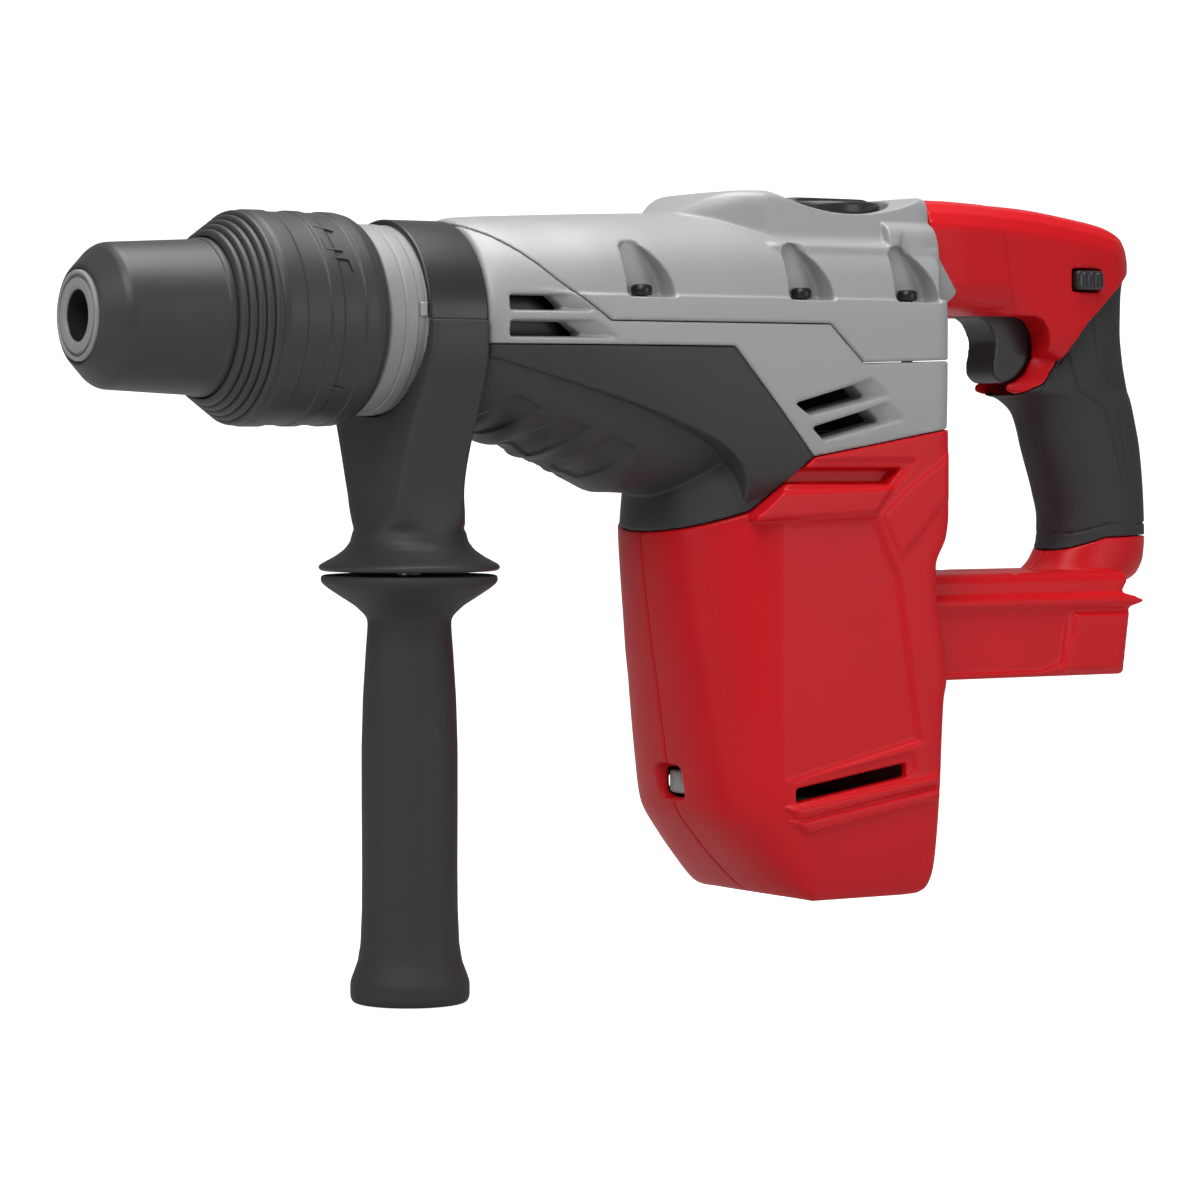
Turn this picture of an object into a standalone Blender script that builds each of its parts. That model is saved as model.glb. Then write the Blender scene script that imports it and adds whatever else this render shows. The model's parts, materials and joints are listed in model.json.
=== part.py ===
"""Cordless rotary hammer with a D-shaped rear handle, a side handle and a battery foot.

Sizes are in millimetres and the meshes are stored in metres. Every piece is drawn in the tool's own
coordinates: the origin is the centre of the nose on the spindle axis, +X runs back to the rear
handle and +Z is up. One empty carries the whole tool, so that the world's origin is the middle of
the flat face that the battery's terminals meet.
"""

import math

import bmesh
import bpy
from mathutils import Matrix, Vector

MM = 0.001
GAP = 0.3  # between two touching pieces
RUNNING = 0.4  # beside a piece that turns or slides
SEGMENTS = 24  # round a turned piece that shows

# Battery foot
FOOT_X = 374.0  # middle of the terminal block
FOOT_TOP = -89.0
FOOT_LEDGE = -98.0
FOOT_BOTTOM = -127.0
FOOT_REAR = 421.0
FOOT_HALF = 33.0
SLOT_ROOF = -108.0
SLOT_HALF = 27.5
SLOT_MOUTH_HALF = 22.0
RAIL_TOP = -122.5

# Gear case and motor housing
CASE_FRONT = 136.0
CASE_HALF = 44.0
CASE_TOP = 39.0
CASE_REAR = 322.0
BARREL_R = 31.0  # chamber round the hammer tube
CHAMBER_FRONT = 222.0
CHAMBER_REAR = 316.0
CHAMBER_BOTTOM = -57.0
MOTOR_HALF = 44.0
MOTOR_BOTTOM = -203.0
MOTOR_WALL = 4.0
SEAM_Z = 0.0
REAR_SEAM_X = 276.0  # where the seam drops
REAR_SEAM_Z = -12.5
PAD_TOP = 47.0

# Neck and side handle
NECK_R = 32.2
NECK_FRONT = 98.0
HANDLE_X = 124.4
BAND_WIDTH = 22.6
BAND_R = 36.0
GRIP_TOP = -95.5
GRIP_BOTTOM = -232.0
FLANGE_R = 31.0
BOLT_R = 4.0

# Tool holder
SHANK_BORE_R = 9.1
HOLDER_R = 17.0
SLEEVE_R = 26.3
COLLAR_R = 36.0
COLLAR_FRONT = 45.5
COLLAR_REAR = 98.0
COLLAR_TRAVEL = 8.0
ROLLER_R = 5.0
ROLLER_BITE = 0.9  # how far a locking roller stands into the shank bore
ROLLER_LIFT = 2.0
CAM_FRONT = 66.0
CAM_LENGTH = COLLAR_TRAVEL - RUNNING
FLANGE_X = 90.0  # shoulder behind the collar's spring
SPRING_WIRE_R = 0.9

# Hammer mechanism
TUBE_IN_R = 16.0
TUBE_OUT_R = 20.0
TUBE_FRONT = 110.5
TUBE_REAR = 223.5
ANVIL_TRAVEL = 5.0
PISTON_FRONT = 190.0
PISTON_LENGTH = 32.0
PIN_X = 210.0  # wrist pin
CRANK_X = 246.0
CRANK_THROW = 12.0
CRANK_DISC_TOP = -10.0
WRIST_PIN_R = 4.0
CRANK_PIN_R = 5.0

# Gears: teeth and module
MODULE = 1.25
PINION_TEETH = 8
CRANK_TEETH = 32
IDLER_TEETH = 28
BEVEL_TEETH = 8
RING_TEETH = 34
TOOTH_SHARE = 0.40  # of the pitch, at the pitch circle
GEAR_Z = -44.0  # middle of the crank gear
GEAR_THICK = 8.0
BEVEL_MODULE = 1.6
IDLER_X = CRANK_X - MODULE * (CRANK_TEETH + IDLER_TEETH) / 2
MOTOR_SHAFT_X = CRANK_X + MODULE * (CRANK_TEETH + PINION_TEETH) / 2

# Rear handle
GRIP_HALF = 17.0
CONTROL_Z = 18.5  # lock button
KNOB_X = 297.0
KNOB_R = 20.0
DIAL_X = 248.5
DIAL_Z = -161.5
DIAL_R = 15.0

SCREW_XS = (194.2, 260.6, 306.5)
SCREW_Y = 37.5
SCREW_Z = 12.6  # top of the heads
SCREW_HEAD_R = 3.6
SCREW_SHANK_R = 2.0
SCREW_HEAD = 3.7
THREAD_DEPTH = 7.4  # below the seam


def material(name, colour, roughness, metallic=0.0):
    """A plain Principled material, made once for each finish."""
    made = bpy.data.materials.get(name) or bpy.data.materials.new(name)
    made.use_nodes = True
    shader = made.node_tree.nodes["Principled BSDF"]
    shader.inputs["Base Color"].default_value = (*colour, 1)
    shader.inputs["Roughness"].default_value = roughness
    shader.inputs["Metallic"].default_value = metallic
    made.diffuse_color = (*colour, 1)
    return made


def empty(name, place, parent=None):
    made = bpy.data.objects.new(name, None)
    made.location = Vector(place) * MM
    made.parent = parent
    bpy.context.scene.collection.objects.link(made)
    return made


def piece(name, bm, finish, pivot=None, helper=False):
    """Turns a bmesh drawn in tool coordinates into an object that hangs on its pivot."""
    bmesh.ops.remove_doubles(bm, verts=bm.verts, dist=1e-4)
    bmesh.ops.recalc_face_normals(bm, faces=bm.faces)
    offset = pivot.location if pivot else Vector()
    bm.transform(Matrix.Translation(-offset) @ Matrix.Scale(MM, 4))
    mesh = bpy.data.meshes.new(name)
    bm.to_mesh(mesh)
    bm.free()
    mesh.shade_smooth()
    mesh.set_sharp_from_angle(angle=math.radians(35))
    made = bpy.data.objects.new(name, mesh)
    made.parent = pivot or DATUM
    if finish:
        mesh.materials.append(finish)
    if helper:
        made.hide_render = True
        made.display_type = "WIRE"
    bpy.context.scene.collection.objects.link(made)
    return made


def helper(name, bm):
    return piece(name, bm, None, helper=True)


def welded(target):
    """Merges points that a Boolean leaves almost together. It comes last on its object."""
    weld = target.modifiers.new("weld", "WELD")
    weld.merge_threshold = 0.00002
    return target


def boolean(target, operation, *others):
    for other in others:
        cut = target.modifiers.new(f"{operation.lower()}_{other.name}", "BOOLEAN")
        cut.operation = operation
        cut.solver = "EXACT"
        cut.object = other
    return target


def other_half(source, name, finish):
    """The mirror image of a finished half, on the far side of the tool's middle plane."""
    bpy.context.view_layer.update()
    seen = source.evaluated_get(bpy.context.evaluated_depsgraph_get())
    bm = bmesh.new()
    bm.from_mesh(seen.to_mesh())
    seen.to_mesh_clear()
    bm.transform(Matrix.Scale(1 / MM, 4) @ Matrix.Diagonal((1, -1, 1, 1)))
    return piece(name, bm, finish)


def solid_from(shape, name, finish):
    """A new piece that starts as a copy of a helper's mesh."""
    made = bpy.data.objects.new(name, shape.data.copy())
    made.parent = DATUM
    made.data.materials.append(finish)
    bpy.context.scene.collection.objects.link(made)
    return made


def rotated(axis):
    """The matrix that turns the X axis to the named one."""
    if axis == "X":
        return Matrix.Identity(4)
    if axis == "Y":
        return Matrix.Rotation(math.pi / 2, 4, "Z")
    return Matrix.Rotation(-math.pi / 2, 4, "Y")


def turned(outline, axis="X", centre=(0, 0, 0), segments=SEGMENTS):
    """A closed outline of (along, radius) points spun round an axis through the centre."""
    bm = bmesh.new()
    points = [bm.verts.new((along, 0, radius)) for along, radius in outline]
    ends_on_axis = outline[0][1] < 1e-6 and outline[-1][1] < 1e-6
    pairs = list(zip(points, points[1:]))
    if not ends_on_axis:
        pairs.append((points[-1], points[0]))
    edges = [bm.edges.new(pair) for pair in pairs]
    bmesh.ops.spin(
        bm, geom=points + edges, axis=(1, 0, 0), cent=(0, 0, 0), angle=2 * math.pi, steps=segments, use_merge=True
    )
    bmesh.ops.remove_doubles(bm, verts=bm.verts, dist=1e-5)
    bm.transform(Matrix.Translation(centre) @ rotated(axis))
    return bm


def rod(start, length, radius, axis="X", centre=(0, 0, 0), segments=SEGMENTS):
    """A plain cylinder from start along its axis."""
    return turned([(start, 0), (start, radius), (start + length, radius), (start + length, 0)], axis, centre, segments)


def ring(start, length, inner, outer, axis="X", centre=(0, 0, 0), segments=SEGMENTS):
    outline = [(start, inner), (start, outer), (start + length, outer), (start + length, inner)]
    return turned(outline, axis, centre, segments)


def block(low, high, bevel=0.0):
    """A box between two corners, with its edges bevelled if asked."""
    bm = bmesh.new()
    bmesh.ops.create_cube(bm, size=1)
    size = Vector(high) - Vector(low)
    middle = (Vector(high) + Vector(low)) / 2
    bm.transform(Matrix.Translation(middle) @ Matrix.Diagonal((*size, 1)))
    if bevel:
        bmesh.ops.bevel(bm, geom=bm.edges[:], offset=bevel, segments=1, affect="EDGES")
    return bm


def plate(outline, low, high, plane="XZ"):
    """An outline in the XZ, YZ or XY plane, extruded from low to high along the third axis."""
    bm = bmesh.new()
    if plane == "XZ":
        corners = [bm.verts.new((x, low, z)) for x, z in outline]
        shift = Vector((0, high - low, 0))
    elif plane == "YZ":
        corners = [bm.verts.new((low, y, z)) for y, z in outline]
        shift = Vector((high - low, 0, 0))
    else:
        corners = [bm.verts.new((x, y, low)) for x, y in outline]
        shift = Vector((0, 0, high - low))
    face = bm.faces.new(corners)
    grown = bmesh.ops.extrude_face_region(bm, geom=[face])
    moved = [item for item in grown["geom"] if isinstance(item, bmesh.types.BMVert)]
    bmesh.ops.translate(bm, verts=moved, vec=shift)
    bmesh.ops.triangulate(bm, faces=[f for f in bm.faces if len(f.verts) > 4])
    return bm


def loft(rings, closed=False):
    """Skins a row of rings, each with the same number of points, and caps the ends of an open row."""
    bm = bmesh.new()
    rows = [[bm.verts.new(point) for point in one] for one in rings]
    for near, far in zip(rows, rows[1:]):
        for i in range(len(near)):
            j = (i + 1) % len(near)
            bm.faces.new((near[i], near[j], far[j], far[i]))
    if closed:
        bmesh.ops.remove_doubles(bm, verts=bm.verts, dist=1e-5)
    else:
        bm.faces.new(rows[0])
        bm.faces.new(rows[-1][::-1])
    bmesh.ops.recalc_face_normals(bm, faces=bm.faces)
    return bm


def power(value, exponent):
    return math.copysign(abs(value) ** exponent, value)


def cross_section(x, half, top, bottom, widest, upper, lower, count=28):
    """A ring in the YZ plane: a rounded shape whose exponents set how square it is above and below."""
    points = []
    for i in range(count):
        angle = 2 * math.pi * (i + 0.5) / count
        squareness = upper if angle < math.pi else lower
        height = top - widest if angle < math.pi else widest - bottom
        y = half * power(math.cos(angle), 2 / squareness)
        points.append((x, y, widest + height * power(math.sin(angle), 2 / squareness)))
    return points


def plan_section(z, front, rear, middle, half, front_power, rear_power, count=28):
    """A ring in the XY plane, with its own roundness in front of and behind its middle."""
    points = []
    for i in range(count):
        angle = 2 * math.pi * (i + 0.5) / count
        ahead = math.cos(angle) < 0
        squareness = front_power if ahead else rear_power
        reach = middle - front if ahead else rear - middle
        x = middle + reach * power(math.cos(angle), 2 / squareness)
        points.append((x, half * power(math.sin(angle), 2 / squareness), z))
    return points


def gear_outline(teeth, module, clearance=0.35):
    """Points of a spur gear with straight-flanked teeth, thinned for backlash, round the origin."""
    pitch_r = teeth * module / 2
    tip_r = pitch_r + 0.8 * module
    root_r = pitch_r - (0.8 + clearance) * module
    step = 2 * math.pi / teeth
    half_tooth = step * TOOTH_SHARE / 2
    flare = 0.75 * module * math.tan(math.radians(20)) / pitch_r
    points = []
    for i in range(teeth):
        middle = i * step
        for radius, angle in (
            (root_r, -half_tooth - flare),
            (tip_r, -half_tooth + flare),
            (tip_r, half_tooth - flare),
            (root_r, half_tooth + flare),
        ):
            points.append((radius * math.cos(middle + angle), radius * math.sin(middle + angle)))
    return points


def spur_gear(teeth, module, low, high, centre, phase=0.0):
    bm = plate(gear_outline(teeth, module), low, high, plane="XY")
    bm.transform(Matrix.Translation(centre) @ Matrix.Rotation(phase, 4, "Z"))
    return bm


def bevel_ring(teeth, mate, share, phase):
    """One ring of tooth points on a bevel gear whose apex is the origin and whose axis is +X."""
    pitch_r = teeth * BEVEL_MODULE / 2
    slope = math.atan2(teeth, mate)
    half_tooth = math.pi / teeth * TOOTH_SHARE
    flare = 0.75 * BEVEL_MODULE * math.tan(math.radians(20)) / pitch_r
    points = []
    for i in range(teeth):
        for depth, angle in (
            (-1.2, -half_tooth - flare),
            (0.7, -half_tooth + flare),
            (0.7, half_tooth - flare),
            (-1.2, half_tooth + flare),
        ):
            turn = phase + 2 * math.pi * i / teeth + angle
            axial = mate * BEVEL_MODULE / 2 - depth * BEVEL_MODULE * math.sin(slope)
            radius = pitch_r + depth * BEVEL_MODULE * math.cos(slope)
            points.append(Vector((axial, radius * math.cos(turn), radius * math.sin(turn))) * share)
    return points


def bevel_gear(teeth, mate, face_share, phase, backs):
    """A straight bevel gear: its tooth ring, a smaller one nearer the apex, and plain rings of (axial, radius)."""
    outer = bevel_ring(teeth, mate, 1.0, phase)
    plain = []
    for axial, radius in backs:
        turns = [math.atan2(point.z, point.y) for point in outer]
        plain.append([(axial, radius * math.cos(turn), radius * math.sin(turn)) for turn in turns])
    return [*plain[:2], outer, bevel_ring(teeth, mate, face_share, phase), *plain[2:]]


def axes_matrix(x_axis, y_axis, place):
    """The matrix that carries X and Y to the given directions and the origin to the given place."""
    x_axis, y_axis = Vector(x_axis), Vector(y_axis)
    z_axis = x_axis.cross(y_axis)
    rows = Matrix((x_axis, y_axis, z_axis)).transposed().to_4x4()
    return Matrix.Translation(place) @ rows


for leftover in list(bpy.data.objects):
    bpy.data.objects.remove(leftover, do_unlink=True)

DATUM = empty("tool_datum", (-FOOT_X, 0, -SLOT_ROOF))

GREY = material("grey_case", (0.42, 0.43, 0.44), 0.42, 0.2)
RED = material("red_plastic", (0.62, 0.01, 0.015), 0.35)
DARK = material("dark_plastic", (0.035, 0.036, 0.04), 0.55)
RUBBER = material("grip_rubber", (0.045, 0.047, 0.052), 0.75)
NECK_METAL = material("neck_metal", (0.5, 0.51, 0.52), 0.4, 0.7)
STEEL = material("steel", (0.5, 0.5, 0.5), 0.3, 1.0)
BLACK_STEEL = material("black_steel", (0.05, 0.05, 0.055), 0.4, 1.0)
COPPER = material("contact_metal", (0.8, 0.55, 0.25), 0.3, 1.0)
SEAL = material("seal_grey", (0.22, 0.23, 0.24), 0.6)
BOARD = material("board_plastic", (0.05, 0.12, 0.07), 0.6)


def gear_case_body(name, offset=0.0):
    """The outside of the gear case, from the neck back to the rear handle."""
    stations = (
        (CASE_FRONT, 35.0, 34.6, -36.5, 2.0, 2.0),
        (CASE_FRONT + 7, 36.5, 35.6, -38.5, 2.1, 2.0),
        (CASE_FRONT + 24, 40.0, 36.5, -43.0, 2.2, 2.2),
        (CASE_FRONT + 44, 43.0, 37.4, -51.0, 2.4, 2.4),
        (CASE_FRONT + 66, CASE_HALF, 38.3, -61.0, 2.5, 2.7),
        (CASE_FRONT + 90, CASE_HALF, CASE_TOP, -74.0, 2.5, 3.2),
        (CASE_REAR - 6, CASE_HALF, CASE_TOP, -80.0, 2.5, 4.0),
        (CASE_REAR, CASE_HALF - 3, CASE_TOP - 2, -78.0, 2.5, 4.0),
    )
    rings = []
    for x, half, top, bottom, upper, lower in stations:
        rings.append(cross_section(x, half, top, bottom, SEAM_Z, upper, lower))
    return helper(name, loft(rings))


def motor_body(name, wall=0.0, low=MOTOR_BOTTOM, high=-31.0):
    """The outside of the motor housing, or its hollow when a wall is given."""
    stations = (
        (high, 216.0, MOTOR_HALF, 2.2),
        (-80.0, 218.5, MOTOR_HALF, 2.3),
        (-118.0, 223.5, MOTOR_HALF, 2.5),
        (-156.0, 229.5, MOTOR_HALF, 2.7),
        (-170.0, 233.0, MOTOR_HALF - 0.5, 2.9),
        (-182.0, 242.0, MOTOR_HALF - 1.5, 3.0),
        (-193.0, 252.5, MOTOR_HALF - 3, 3.0),
        (-200.0, 261.0, MOTOR_HALF - 5, 3.0),
        (low, 269.0, MOTOR_HALF - 9, 3.0),
    )
    rings = []
    for z, front, half, squareness in stations:
        if wall and z == low:
            continue
        shrink = wall * (1.6 if z < -180 else 1.0)
        rear = CASE_REAR - wall - (6 if z == low else 0)
        rings.append(plan_section(z, front + shrink, rear, 268.0, half - wall, squareness, 7.0))
    return helper(name, loft(rings))


def selector_pad(name):
    """The raised pad on the cover that the mode knob sits in."""
    rings = []
    for x, half, top in ((226, 30, 34), (236, 29, 43.5), (244, 28, PAD_TOP - 0.8), (252, 28, PAD_TOP), (330, 27, PAD_TOP)):
        rings.append(cross_section(x, half, top, 20.0, 28.0, 5.0, 5.0, 16))
    return helper(name, loft(rings))


def seam_points(shift=0.0):
    """The line where the top cover meets the gear housing, seen from the side."""
    return [
        (CASE_FRONT - 6, 60.0),
        (CASE_FRONT - 6, 33.5 + shift),
        (CASE_FRONT + 7, 28.0 + shift),
        (CASE_FRONT + 24, 14.0 + shift),
        (CASE_FRONT + 43, SEAM_Z + shift),
        (REAR_SEAM_X - 7, SEAM_Z + shift),
        (REAR_SEAM_X + 7.5, REAR_SEAM_Z - 1 + shift),
        (CASE_REAR + 20, REAR_SEAM_Z + 1 + shift),
        (CASE_REAR + 20, 60.0),
    ]


def dark_points(shift=0.0):
    """The outline of the dark lower cover, seen from the side."""
    return [
        (CASE_FRONT - 6, -8.2 - shift),
        (228.7, -8.2 - shift),
        (263.4 - shift, -46.4 - shift),
        (240.5 - shift, -65.3 + shift),
        (211.4, -74.9 + shift),
        (196.0, -78.5 + shift),
        (170.0, -78.5 + shift),
        (CASE_FRONT - 6, -60.0),
    ]


def red_points():
    """The side outline of everything below the gear housing that isn't the dark cover."""
    return [
        (170.0, -78.8),
        (196.0, -78.8),
        (211.4, -75.2),
        (240.5, -65.6),
        (263.4, -46.7),
        (CASE_REAR + 20, -33.3),
        (CASE_REAR + 20, MOTOR_BOTTOM - 20),
        (170.0, MOTOR_BOTTOM - 20),
    ]


def make_chambers():
    """Cutters for the hollow inside the housings."""
    barrel = helper("barrel_chamber", rod(CASE_FRONT - 10, CHAMBER_FRONT - CASE_FRONT + 20, BARREL_R, segments=32))
    low = (CHAMBER_FRONT, -BARREL_R, CHAMBER_BOTTOM)
    crank = helper("crank_chamber", block(low, (CHAMBER_REAR, BARREL_R, 30.0)))
    # The idler gear needs room below the tube.
    idler = helper("idler_chamber", rod(GEAR_Z - 7, 34.0, IDLER_TEETH * MODULE / 2 + 2, "Z", (IDLER_X, 0, 0), 24))
    motor = motor_body("motor_chamber", MOTOR_WALL, high=-56.0)
    return [barrel, crank, idler, motor]


def screw_places():
    """Each screw's place and the height of its tip, which stands a thread's depth below the seam."""
    places = []
    for x in SCREW_XS:
        seam = SEAM_Z if x < REAR_SEAM_X else REAR_SEAM_Z
        places += [(x, side * SCREW_Y, seam - THREAD_DEPTH) for side in (-1, 1)]
    return places


def screw_pocket(name, x, y, width):
    """The recess in the cover that lets a driver reach a screw: flat floor, rounded rear edge."""
    side = math.copysign(1, y)
    height = 17.0
    floor = SCREW_Z - SCREW_HEAD - GAP
    outline = [(x - width / 2, floor), (x + width / 2, floor), (x + width / 2, SCREW_Z)]
    for i in range(5):
        angle = math.radians(90 * i / 4)
        reach = width * 0.75
        outline.append((x + width / 2 - reach * (1 - math.cos(angle)), SCREW_Z + height * math.sin(angle)))
    outline.append((x - width / 2, SCREW_Z + height))
    inner, outer = side * (SCREW_Y - 4.6), side * (CASE_HALF + 6)
    return helper(name, plate(outline, min(inner, outer), max(inner, outer)))


def make_gear_cover(case, chambers):
    region = helper("cover_region", plate(seam_points(GAP / 2), -60, 60))
    cover = solid_from(case, "gear_cover", GREY)
    boolean(cover, "UNION", selector_pad("pad_shape"))
    boolean(cover, "INTERSECT", region)
    boolean(cover, "DIFFERENCE", *chambers[:2])
    recess = helper("knob_recess", rod(PAD_TOP - 7.5, 20, KNOB_R + 3, "Z", (KNOB_X, 0, 0), 24))
    scoop = helper("knob_scoop", rod(-60, 120, 75, "Y", (KNOB_X - 8, 0, PAD_TOP + 68.5), 40))
    bore = helper("knob_bore", rod(20, 40, 6 + RUNNING, "Z", (KNOB_X, 0, 0), 16))
    boolean(cover, "DIFFERENCE", recess, scoop, bore)
    for number, (x, y, tip) in enumerate(screw_places(), 1):
        pocket = screw_pocket(f"pocket_{number}", x, y, 13.5)
        hole = helper(f"cover_hole_{number}", rod(tip - 10, 50, SCREW_SHANK_R + GAP, "Z", (x, y, 0), 8))
        boolean(cover, "DIFFERENCE", pocket, hole)
    return cover


def slanted_slot(name, corners, depth=9.0):
    """A cooling slot through the near wall and one through the far wall, as one cutter each."""
    slots = []
    for side in (-1, 1):
        low, high = sorted((side * (CASE_HALF + 5), side * (CASE_HALF - depth)))
        slots.append(helper(f"{name}_{'near' if side < 0 else 'far'}", plate(corners, low, high)))
    return slots


def make_gear_housing(case, chambers):
    housing = solid_from(case, "gear_housing", GREY)
    cover_side = helper("above_seam", plate(seam_points(-GAP / 2), -60, 60))
    dark_side = helper("below_housing", plate(dark_points(-GAP / 2), -60, 60))
    below = [(150, -90), (240, -50), (263.4, -46.7 + GAP), (CASE_REAR + 20, -33.3 + GAP)]
    below += [(CASE_REAR + 20, MOTOR_BOTTOM - 20), (150, MOTOR_BOTTOM - 20)]
    red_side = helper("red_below_housing", plate(below, -60, 60))
    boolean(housing, "DIFFERENCE", cover_side, dark_side, red_side, *chambers[:3])
    vents = []
    vents += slanted_slot("front_vent_upper", [(142.5, 7.0), (142.5, 2.2), (170.5, 2.2), (166.5, 7.0)], 12)
    vents += slanted_slot("front_vent_lower", [(142.5, -1.2), (142.5, -5.8), (178.0, -5.8), (174.5, -1.2)], 12)
    vents += slanted_slot("rear_vent_upper", [(254.8, -27.5), (261.0, -31.3), (292.5, -24.5), (287.0, -20.0)])
    vents += slanted_slot("rear_vent_lower", [(261.8, -36.0), (267.0, -40.3), (299.0, -32.8), (293.6, -28.3)])
    boolean(housing, "DIFFERENCE", *vents)
    for number, (x, y, tip) in enumerate(screw_places(), 1):
        hole = helper(f"thread_hole_{number}", rod(tip - GAP, 40, SCREW_SHANK_R + GAP, "Z", (x, y, 0), 8))
        boolean(housing, "DIFFERENCE", hole)
    return housing


def make_lower_cover(case, chambers):
    cover = solid_from(case, "lower_cover", DARK)
    region = helper("dark_region", plate(dark_points(GAP / 2), -60, 60))
    boolean(cover, "INTERSECT", region)
    boolean(cover, "DIFFERENCE", *chambers)
    return cover


def make_motor_housing(shell, chambers):
    """Two halves of one red shell, parted on the tool's middle plane."""
    region = helper("red_region", plate(red_points(), -60, 60))
    window = helper("dial_window", block((216, -7, DIAL_Z - 5.5), (240, 7, DIAL_Z + 5.5)))
    upper = [(258.2, -51.0), (258.2, -56.2), (296.0, -56.2), (300.1, -51.0)]
    lower = [(255.5, -162.0), (255.5, -167.2), (302.6, -159.8), (302.6, -154.8)]
    vents = slanted_slot("motor_vent_upper", upper) + slanted_slot("motor_vent_lower", lower)
    dial_room = helper("dial_room", rod(DIAL_Z - 4.4, 8.8, DIAL_R + GAP, "Z", (DIAL_X, 0, 0), 24))
    side = helper("near_side", block((160, -60, -260), (380, -GAP / 2, 0)))
    left = solid_from(shell, "motor_housing_left", RED)
    boolean(left, "INTERSECT", side, region)
    boolean(left, "DIFFERENCE", *chambers[1:], window, dial_room, *vents)
    other_half(welded(left), "motor_housing_right", RED)


def handle_arm(wall=0.0, count=16):
    stations = (
        (CASE_REAR + GAP, 31.0, 46.3, 5.5),
        (336.0, 28.5, 46.3, 5.5),
        (352.0, 25.5, 45.8, 5.5),
        (377.0, 22.5, 44.6, -8.0),
        (400.0, 20.0, 41.9, -14.0),
        (418.0, 18.5, 39.2, -12.0),
        (427.0, 17.5, 36.5, -6.0),
        (432.5, 14.0, 31.0, 8.0),
    )
    rings = []
    for x, half, top, bottom in stations:
        middle = (top + bottom) / 2
        rings.append(cross_section(x, half - wall, top - wall, bottom + wall, middle, 3.2, 3.2, count))
    return rings


def handle_grip(wall=0.0, count=16):
    stations = (
        (22.0, 392.0, 431.5),
        (1.0, 386.0, 430.8),
        (-12.0, 381.5, 432.2),
        (-22.0, 377.5, 435.2),
        (-27.0, 384.5, 436.8),
        (-36.0, 389.6, 438.6),
        (-52.0, 394.3, 441.2),
        (-68.0, 399.0, 442.2),
        (-76.0, 399.0, 442.4),
        (-84.0, 396.5, 442.0),
        (-90.5, 389.0, 439.0),
        (-97.0, 372.0, 425.0),
    )
    rings = []
    for z, front, rear in stations:
        middle = (front + rear) / 2
        rings.append(plan_section(z, front + wall, rear - wall, middle, GRIP_HALF - wall, 2.6, 2.4, count))
    return rings


def make_foot(name):
    """The foot that carries the battery rails, joined to the back of the motor housing."""
    right_side = [
        (24.0, FOOT_TOP),
        (27.0, FOOT_TOP - 2),
        (27.0, FOOT_LEDGE),
        (FOOT_HALF + 1.2, FOOT_LEDGE),
        (FOOT_HALF + 1.2, FOOT_LEDGE - 3.6),
        (FOOT_HALF, FOOT_LEDGE - 3.6),
        (FOOT_HALF, FOOT_BOTTOM),
    ]
    outline = right_side + [(-y, z) for y, z in reversed(right_side)]
    foot = helper(name, plate(outline, CASE_REAR + 1.0, FOOT_REAR, "YZ"))
    low = (FOOT_REAR - 30, -FOOT_HALF - 0.9, FOOT_LEDGE - 3.3)
    lip = helper(f"{name}_lip", block(low, (FOOT_REAR + 4.5, FOOT_HALF + 0.9, FOOT_LEDGE - 0.3)))
    return boolean(foot, "UNION", lip)


def grip_region(name, gap=0.0):
    """The side outline of the dark moulding that wraps the grip."""
    outline = [
        (450, 24.0 - gap),
        (425.5, 20.5 - gap),
        (417.0, 15.0 - gap),
        (403.0, 3.8 - gap),
        (394.0, -6.0 - gap),
        (390.0 + gap, -15.0 - gap),
        (385.0 + gap, -20.5 - gap),
        (370.0, -24.5 - gap),
        (370.0, -90.0 + gap),
        (390.0, -84.8 + gap),
        (405.0, -80.4 + gap),
        (421.0, -76.8 + gap),
        (450, -76.6 + gap),
    ]
    return helper(name, plate(outline, -40, 40))


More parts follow.
